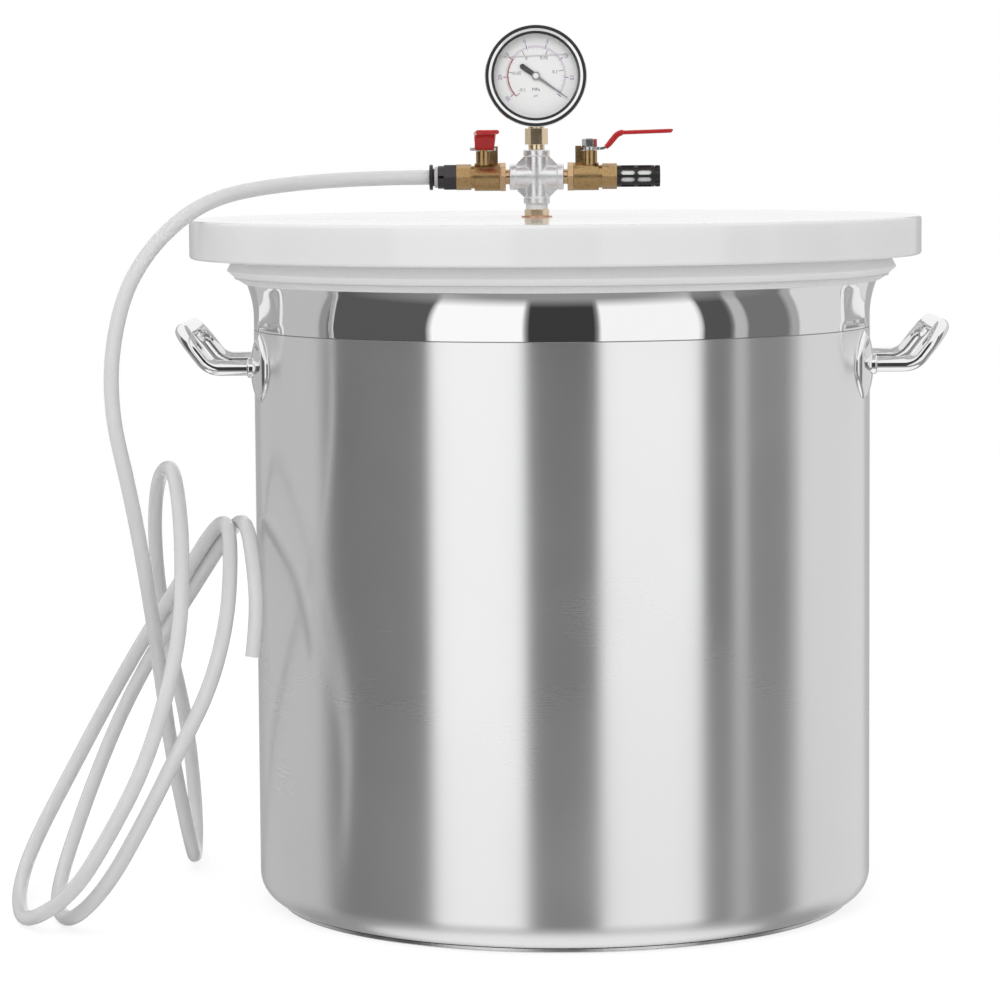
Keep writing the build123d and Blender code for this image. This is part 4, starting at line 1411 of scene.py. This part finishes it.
    def pointer(self) -> None:
        """The pointer: a thin bare needle, a dark counterweight and a pale hub."""
        turn = self.place @ Matrix.Rotation(math.radians(self.needle_angle), 4, "Z")
        foot = self.face + self.foot
        reach, half, tip = self.needle
        needle = slab([Vector(point) for point in ((0, -half), (reach, -tip), (reach, tip), (0, half))],
                      foot, foot + self.thick[0])
        reach, half = self.tail
        neck, corner = half * self.tail_neck, half * self.tail_round
        outline = rounded([(-reach, -half), (0, -neck), (0, neck), (-reach, half)], {0: corner, 3: corner})
        tail = slab(outline, foot, foot + self.thick[1])
        ring, cap = (turned(drum(radius, foot, foot + height, {2: self.hub_edge}), UPRIGHT, 48)
                     for radius, height in self.hub)
        pieces = (("pointer_needle", needle, Finish.NEEDLE), ("pointer_tail", tail, Finish.POINTER),
                  ("pointer_ring", ring, Finish.NEEDLE), ("pointer_hub", cap, Finish.HUB))
        for name, shape, finish in pieces:
            shape.transform(turn)
            add_piece(name, shape, finish, "gauge_pointer", instead=name == "pointer_needle")

    def arc(self, shape: bmesh.types.BMesh, start: float, end: float) -> None:
        """Adds a printed arc along the scales' line to a flat shape.

        Args:
            shape: The shape.
            start: The arc's first angle in degrees.
            end: Its last angle in degrees.
        """
        turn = Matrix.Rotation(math.radians(start), 3, "Z")
        ends = [shape.verts.new(turn @ Vector((self.line + side * self.arc_width / 2, 0, 0))) for side in (-1, 1)]
        edge = shape.edges.new(ends)
        bmesh.ops.spin(shape, geom=[*ends, edge], cent=(0, 0, 0), axis=(0, 0, 1),
                       angle=math.radians(end - start), steps=48)

    def tick(self, shape: bmesh.types.BMesh, angle: float, length: float, width: float) -> None:
        """Adds a printed mark, which starts at the scales' line, to a flat shape.

        Args:
            shape: The shape.
            angle: The mark's angle in degrees.
            length: Its length outwards; a negative one runs inwards.
            width: Its width.
        """
        place = (
            Matrix.Rotation(math.radians(angle), 4, "Z")
            @ Matrix.Translation((self.line + length / 2, 0, 0))
            @ Matrix.Diagonal((abs(length), width, 1, 1))
        )
        bmesh.ops.create_grid(shape, x_segments=1, y_segments=1, size=0.5, matrix=place)

    def word(self, shape: bmesh.types.BMesh, text: str, size: float, radius: float, angle: float,
             turn: float = 0.0) -> None:
        """Adds printed text to a flat shape.

        Args:
            shape: The shape.
            text: The text.
            size: Its height.
            radius: How far its middle is from the dial's centre.
            angle: The direction of its middle in degrees.
            turn: Its own turn in degrees.
        """
        curve = bpy.data.curves.new("dial_word", "FONT")
        curve.body = text
        curve.size = size
        curve.align_x = "CENTER"
        curve.align_y = "CENTER"
        curve.resolution_u = 2
        mesh = mesh_of(curve)
        middle = Vector((radius * math.cos(math.radians(angle)), radius * math.sin(math.radians(angle)), 0))
        mesh.transform(Matrix.Translation(middle) @ Matrix.Rotation(math.radians(turn), 4, "Z"))
        shape.from_mesh(mesh)

    def marks(self) -> None:
        """The dial's print: a red arc for the vacuum part, two scales of marks, their numbers and units."""
        red, violet, black = bmesh.new(), bmesh.new(), bmesh.new()
        vacuum_end = self.outer.start - 2 * self.outer.step - 2
        self.arc(red, self.inner.start, vacuum_end)
        for scale, ink, unit in ((self.outer, violet, self.units[1]), (self.inner, black, self.units[0])):
            for step in range(0, int(round(self.sweep / scale.step * 10, 6)) + 1, scale.every):
                angle = scale.start - scale.step / 10 * step
                inked = red if scale is self.outer and angle > vacuum_end - 1 else ink
                self.tick(inked, angle, *(scale.long if step % 10 == 0 else scale.short))
            for step, text in enumerate(scale.words):
                angle = scale.start - scale.step * step
                turn = 0.0 if scale.upright else angle - 90
                self.word(ink, text, scale.text[0], self.line + scale.text[1], angle, turn)
            self.word(ink, *unit, -90.0)
        for name, shape, finish in (("dial_red_print", red, Finish.RED_INK),
                                    ("dial_violet_print", violet, Finish.PURPLE_INK),
                                    ("dial_black_print", black, Finish.BLACK_INK)):
            for face in shape.faces:
                if face.normal.z < 0:
                    face.normal_flip()
            shape.transform(self.place @ Matrix.Translation((0, 0, self.face + self.lift)))
            add_piece(name, shape, finish, "gauge_dial")

    def filling(self) -> None:
        """The surface of the glycerine filling, a thin line across the dial."""
        depth = (-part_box("gauge_window")[1].y - self.face) * self.fill_depth
        half = math.sqrt(self.fill_reach**2 - self.fill**2)
        shape = bmesh.new()
        place = (
            self.place
            @ Matrix.Translation((0, self.fill, self.face + self.fill_line[1] + depth / 2))
            @ Matrix.Rotation(math.radians(self.fill_tilt), 4, "Z")
            @ Matrix.Diagonal((2 * half, self.fill_line[0], depth, 1))
        )
        bmesh.ops.create_cube(shape, size=1.0, matrix=place)
        add_piece("gauge_filling_surface", shape, Finish.SURFACE, "gauge_window")


# ------------------------------------------------------------------------------------------------ studio
@dataclass
class Studio:
    """The floor, the reflector wall, the key lamp, the world and the camera.

    Attributes:
        eye: Where the camera stands.
        aim: The camera's turn about the upright, its fall below the level and its roll, in radians.
        lens: The camera's focal length and its sensor's width, in millimetres.
        wall_radius: The reflector wall's radius.
        wall_heights: The heights of the wall's lower and upper edges.
        panels: The wall's brightness by azimuth: each panel's last angle in degrees from -180, and its value.
        soft: The width in degrees of the step between two panels.
        low_level: The heights between which the panels fade into the wall's plain lower part.
        low_value: The lower part's brightness.
        ambient: The world's light on matt surfaces.
        floor_radius: The floor's radius.
        floor_value: The floor's brightness to what stands on it.
        floor_shown: The floor's brightness to the camera: what the lamp adds, and its own glow.
        lamp_place: Where the key lamp stands.
        lamp_target: The height on the pot's axis that it faces.
        lamp_size: Its width.
        lamp_power: Its power in watts.
    """

    eye: Triple = (0.0, -2.52317, 0.49842)
    aim: Triple = (0.01619, 0.09362, -0.00742)
    lens: Span = (139.54, 36.0)
    wall_radius: float = 3.0
    wall_heights: Span = (-3.5, 1.3)
    panels: tuple[Span, ...] = (
        (-166.0, 0.95), (-150.0, 0.4), (-98.0, 0.52), (-93.0, 0.3), (-47.8, 0.1), (-12.9, 1.05), (13.0, 0.045),
        (50.8, 1.0), (63.6, 0.09), (69.4, 0.5), (90.0, 0.18), (95.0, 0.4), (150.0, 0.72), (166.0, 0.45), (180.0, 0.95),
    )
    soft: float = 1.2
    low_level: Span = (-1.9, -1.2)
    low_value: float = 0.3
    ambient: float = 0.78
    floor_radius: float = 2.2
    floor_value: float = 0.85
    floor_shown: Span = (0.3, 0.78)
    lamp_place: Triple = (-0.6, -2.6, 2.6)
    lamp_target: float = 0.3
    lamp_size: float = 2.0
    lamp_power: float = 30.0

    def build(self) -> None:
        """Builds the whole studio."""
        self.camera()
        self.world()
        self.floor()
        self.wall()
        self.lamp()

    def camera(self) -> None:
        """The camera, level with the lid and a little above it."""
        data = bpy.data.cameras.new("camera")
        data.lens, data.sensor_width = self.lens
        camera = bpy.data.objects.new("camera", data)
        side, fall, roll = self.aim
        turn = Matrix.Rotation(side, 4, "Z") @ Matrix.Rotation(math.pi / 2 - fall, 4, "X")
        camera.matrix_world = Matrix.Translation(self.eye) @ turn @ Matrix.Rotation(roll, 4, "Z")
        bpy.context.scene.collection.objects.link(camera)
        bpy.context.scene.camera = camera

    def world(self) -> None:
        """A world that is white where it is seen and softer where it lights matt surfaces."""
        world = bpy.data.worlds.new("studio")
        world.use_nodes = True
        tree = Tree(world.node_tree)
        path = tree.add("LightPath").outputs
        shown = path["Is Camera Ray"]
        for key in ("Is Glossy Ray", "Is Transmission Ray"):
            shown = tree.reckon(shown, path[key], "MAXIMUM")
        light = tree.add("Background", {"Color": WHITE, "Strength": self.ambient}).outputs[0]
        seen = tree.add("Background", {"Color": WHITE, "Strength": 1.0}).outputs[0]
        mix = tree.add("MixShader", {0: shown, 1: light, 2: seen})
        tree.feed(tree.add("OutputWorld"), "Surface", mix.outputs[0])
        bpy.context.scene.world = world

    @staticmethod
    def stood(name: str, shape: bmesh.types.BMesh) -> tuple[bpy.types.Object, Tree]:
        """Stands a shape in the studio with an empty material.

        Args:
            name: The name of the thing and of its material.
            shape: Its shape.

        Returns:
            The thing and its material's tree.
        """
        mesh = bpy.data.meshes.new(name)
        shape.to_mesh(mesh)
        shape.free()
        thing = bpy.data.objects.new(name, mesh)
        bpy.context.scene.collection.objects.link(thing)
        material = bpy.data.materials.new(name)
        material.use_nodes = True
        mesh.materials.append(material)
        return thing, Tree(material.node_tree)

    def floor(self) -> None:
        """A pale floor that shows white and keeps a soft shadow."""
        shape = bmesh.new()
        bmesh.ops.create_circle(shape, cap_ends=True, segments=96, radius=self.floor_radius)
        floor, tree = self.stood("floor", shape)
        plain = tree.add("BsdfDiffuse", {"Color": (*[self.floor_value] * 3, 1)})
        shaded = tree.add("BsdfDiffuse", {"Color": (*[self.floor_shown[0]] * 3, 1)})
        glow = tree.add("Emission", {"Strength": self.floor_shown[1]})
        both = tree.add("AddShader", {0: shaded.outputs[0], 1: glow.outputs[0]})
        camera_ray = tree.add("LightPath").outputs["Is Camera Ray"]
        mix = tree.add("MixShader", {0: camera_ray, 1: plain.outputs[0], 2: both.outputs[0]})
        tree.feed(tree.add("OutputMaterial"), "Surface", mix.outputs[0])
        floor.visible_glossy = False

    def wall(self) -> None:
        """A round wall of light and dark panels that only polished surfaces see."""
        shape = bmesh.new()
        low, high = self.wall_heights
        bmesh.ops.create_cone(shape, cap_ends=False, segments=128, radius1=self.wall_radius, radius2=self.wall_radius,
                              depth=high - low, matrix=Matrix.Translation((0, 0, (low + high) / 2)))
        wall, tree = self.stood("reflector_wall", shape)
        place = tree.add("SeparateXYZ", {0: tree.add("TexCoord").outputs["Object"]}).outputs
        angle = tree.reckon(place["X"], tree.reckon(place["Y"], -1.0, "MULTIPLY"), "ARCTAN2")
        share = tree.add("MapRange", {"Value": angle, "From Min": -math.pi, "From Max": math.pi}).outputs["Result"]
        ramp = tree.add("ValToRGB", {0: share})
        stops = ramp.color_ramp.elements
        stops[0].color = (*[self.panels[0][1]] * 3, 1)
        stops[1].color = (*[self.panels[-1][1]] * 3, 1)
        for (last, value), (_, following) in zip(self.panels, self.panels[1:]):
            for shift, shade in ((-self.soft / 2, value), (self.soft / 2, following)):
                stops.new((last + shift + 180) / 360).color = (shade, shade, shade, 1)
        rise = {"Value": place["Z"], "From Min": self.low_level[0], "From Max": self.low_level[1]}
        depth = tree.add("MapRange", rise).outputs["Result"]
        fade = {0: depth, 6: (*[self.low_value] * 3, 1), 7: ramp.outputs["Color"]}
        glow = tree.add("Emission", {"Color": tree.add("Mix", fade, data_type="RGBA").outputs[2]})
        tree.feed(tree.add("OutputMaterial"), "Surface", glow.outputs[0])
        wall.active_material.cycles.emission_sampling = "NONE"
        for kind in ("camera", "diffuse", "transmission", "shadow", "volume_scatter"):
            setattr(wall, f"visible_{kind}", False)

    def lamp(self) -> None:
        """A soft square key lamp that faces the pot."""
        data = bpy.data.lights.new("key_lamp", "AREA")
        data.size = self.lamp_size
        data.energy = self.lamp_power
        lamp = bpy.data.objects.new("key_lamp", data)
        aim = Vector((0, 0, self.lamp_target)) - Vector(self.lamp_place)
        lamp.matrix_world = Matrix.Translation(self.lamp_place) @ aim.to_track_quat("-Z", "Y").to_matrix().to_4x4()
        lamp.visible_glossy = False
        bpy.context.scene.collection.objects.link(lamp)


# ------------------------------------------------------------------------------------------------ main
def main() -> None:
    """Builds the whole chamber and its studio."""
    logging.basicConfig(level=logging.INFO, format="%(name)s: %(message)s")
    bpy.context.scene.view_settings.view_transform = "Standard"
    for assembly in (Studio(), HoseLine(), Pot(), Lid(), Manifold(), Silencer(), Gauge()):
        LOG.info("building %s", type(assembly).__name__)
        assembly.build()


if __name__ == "__main__":
    main()
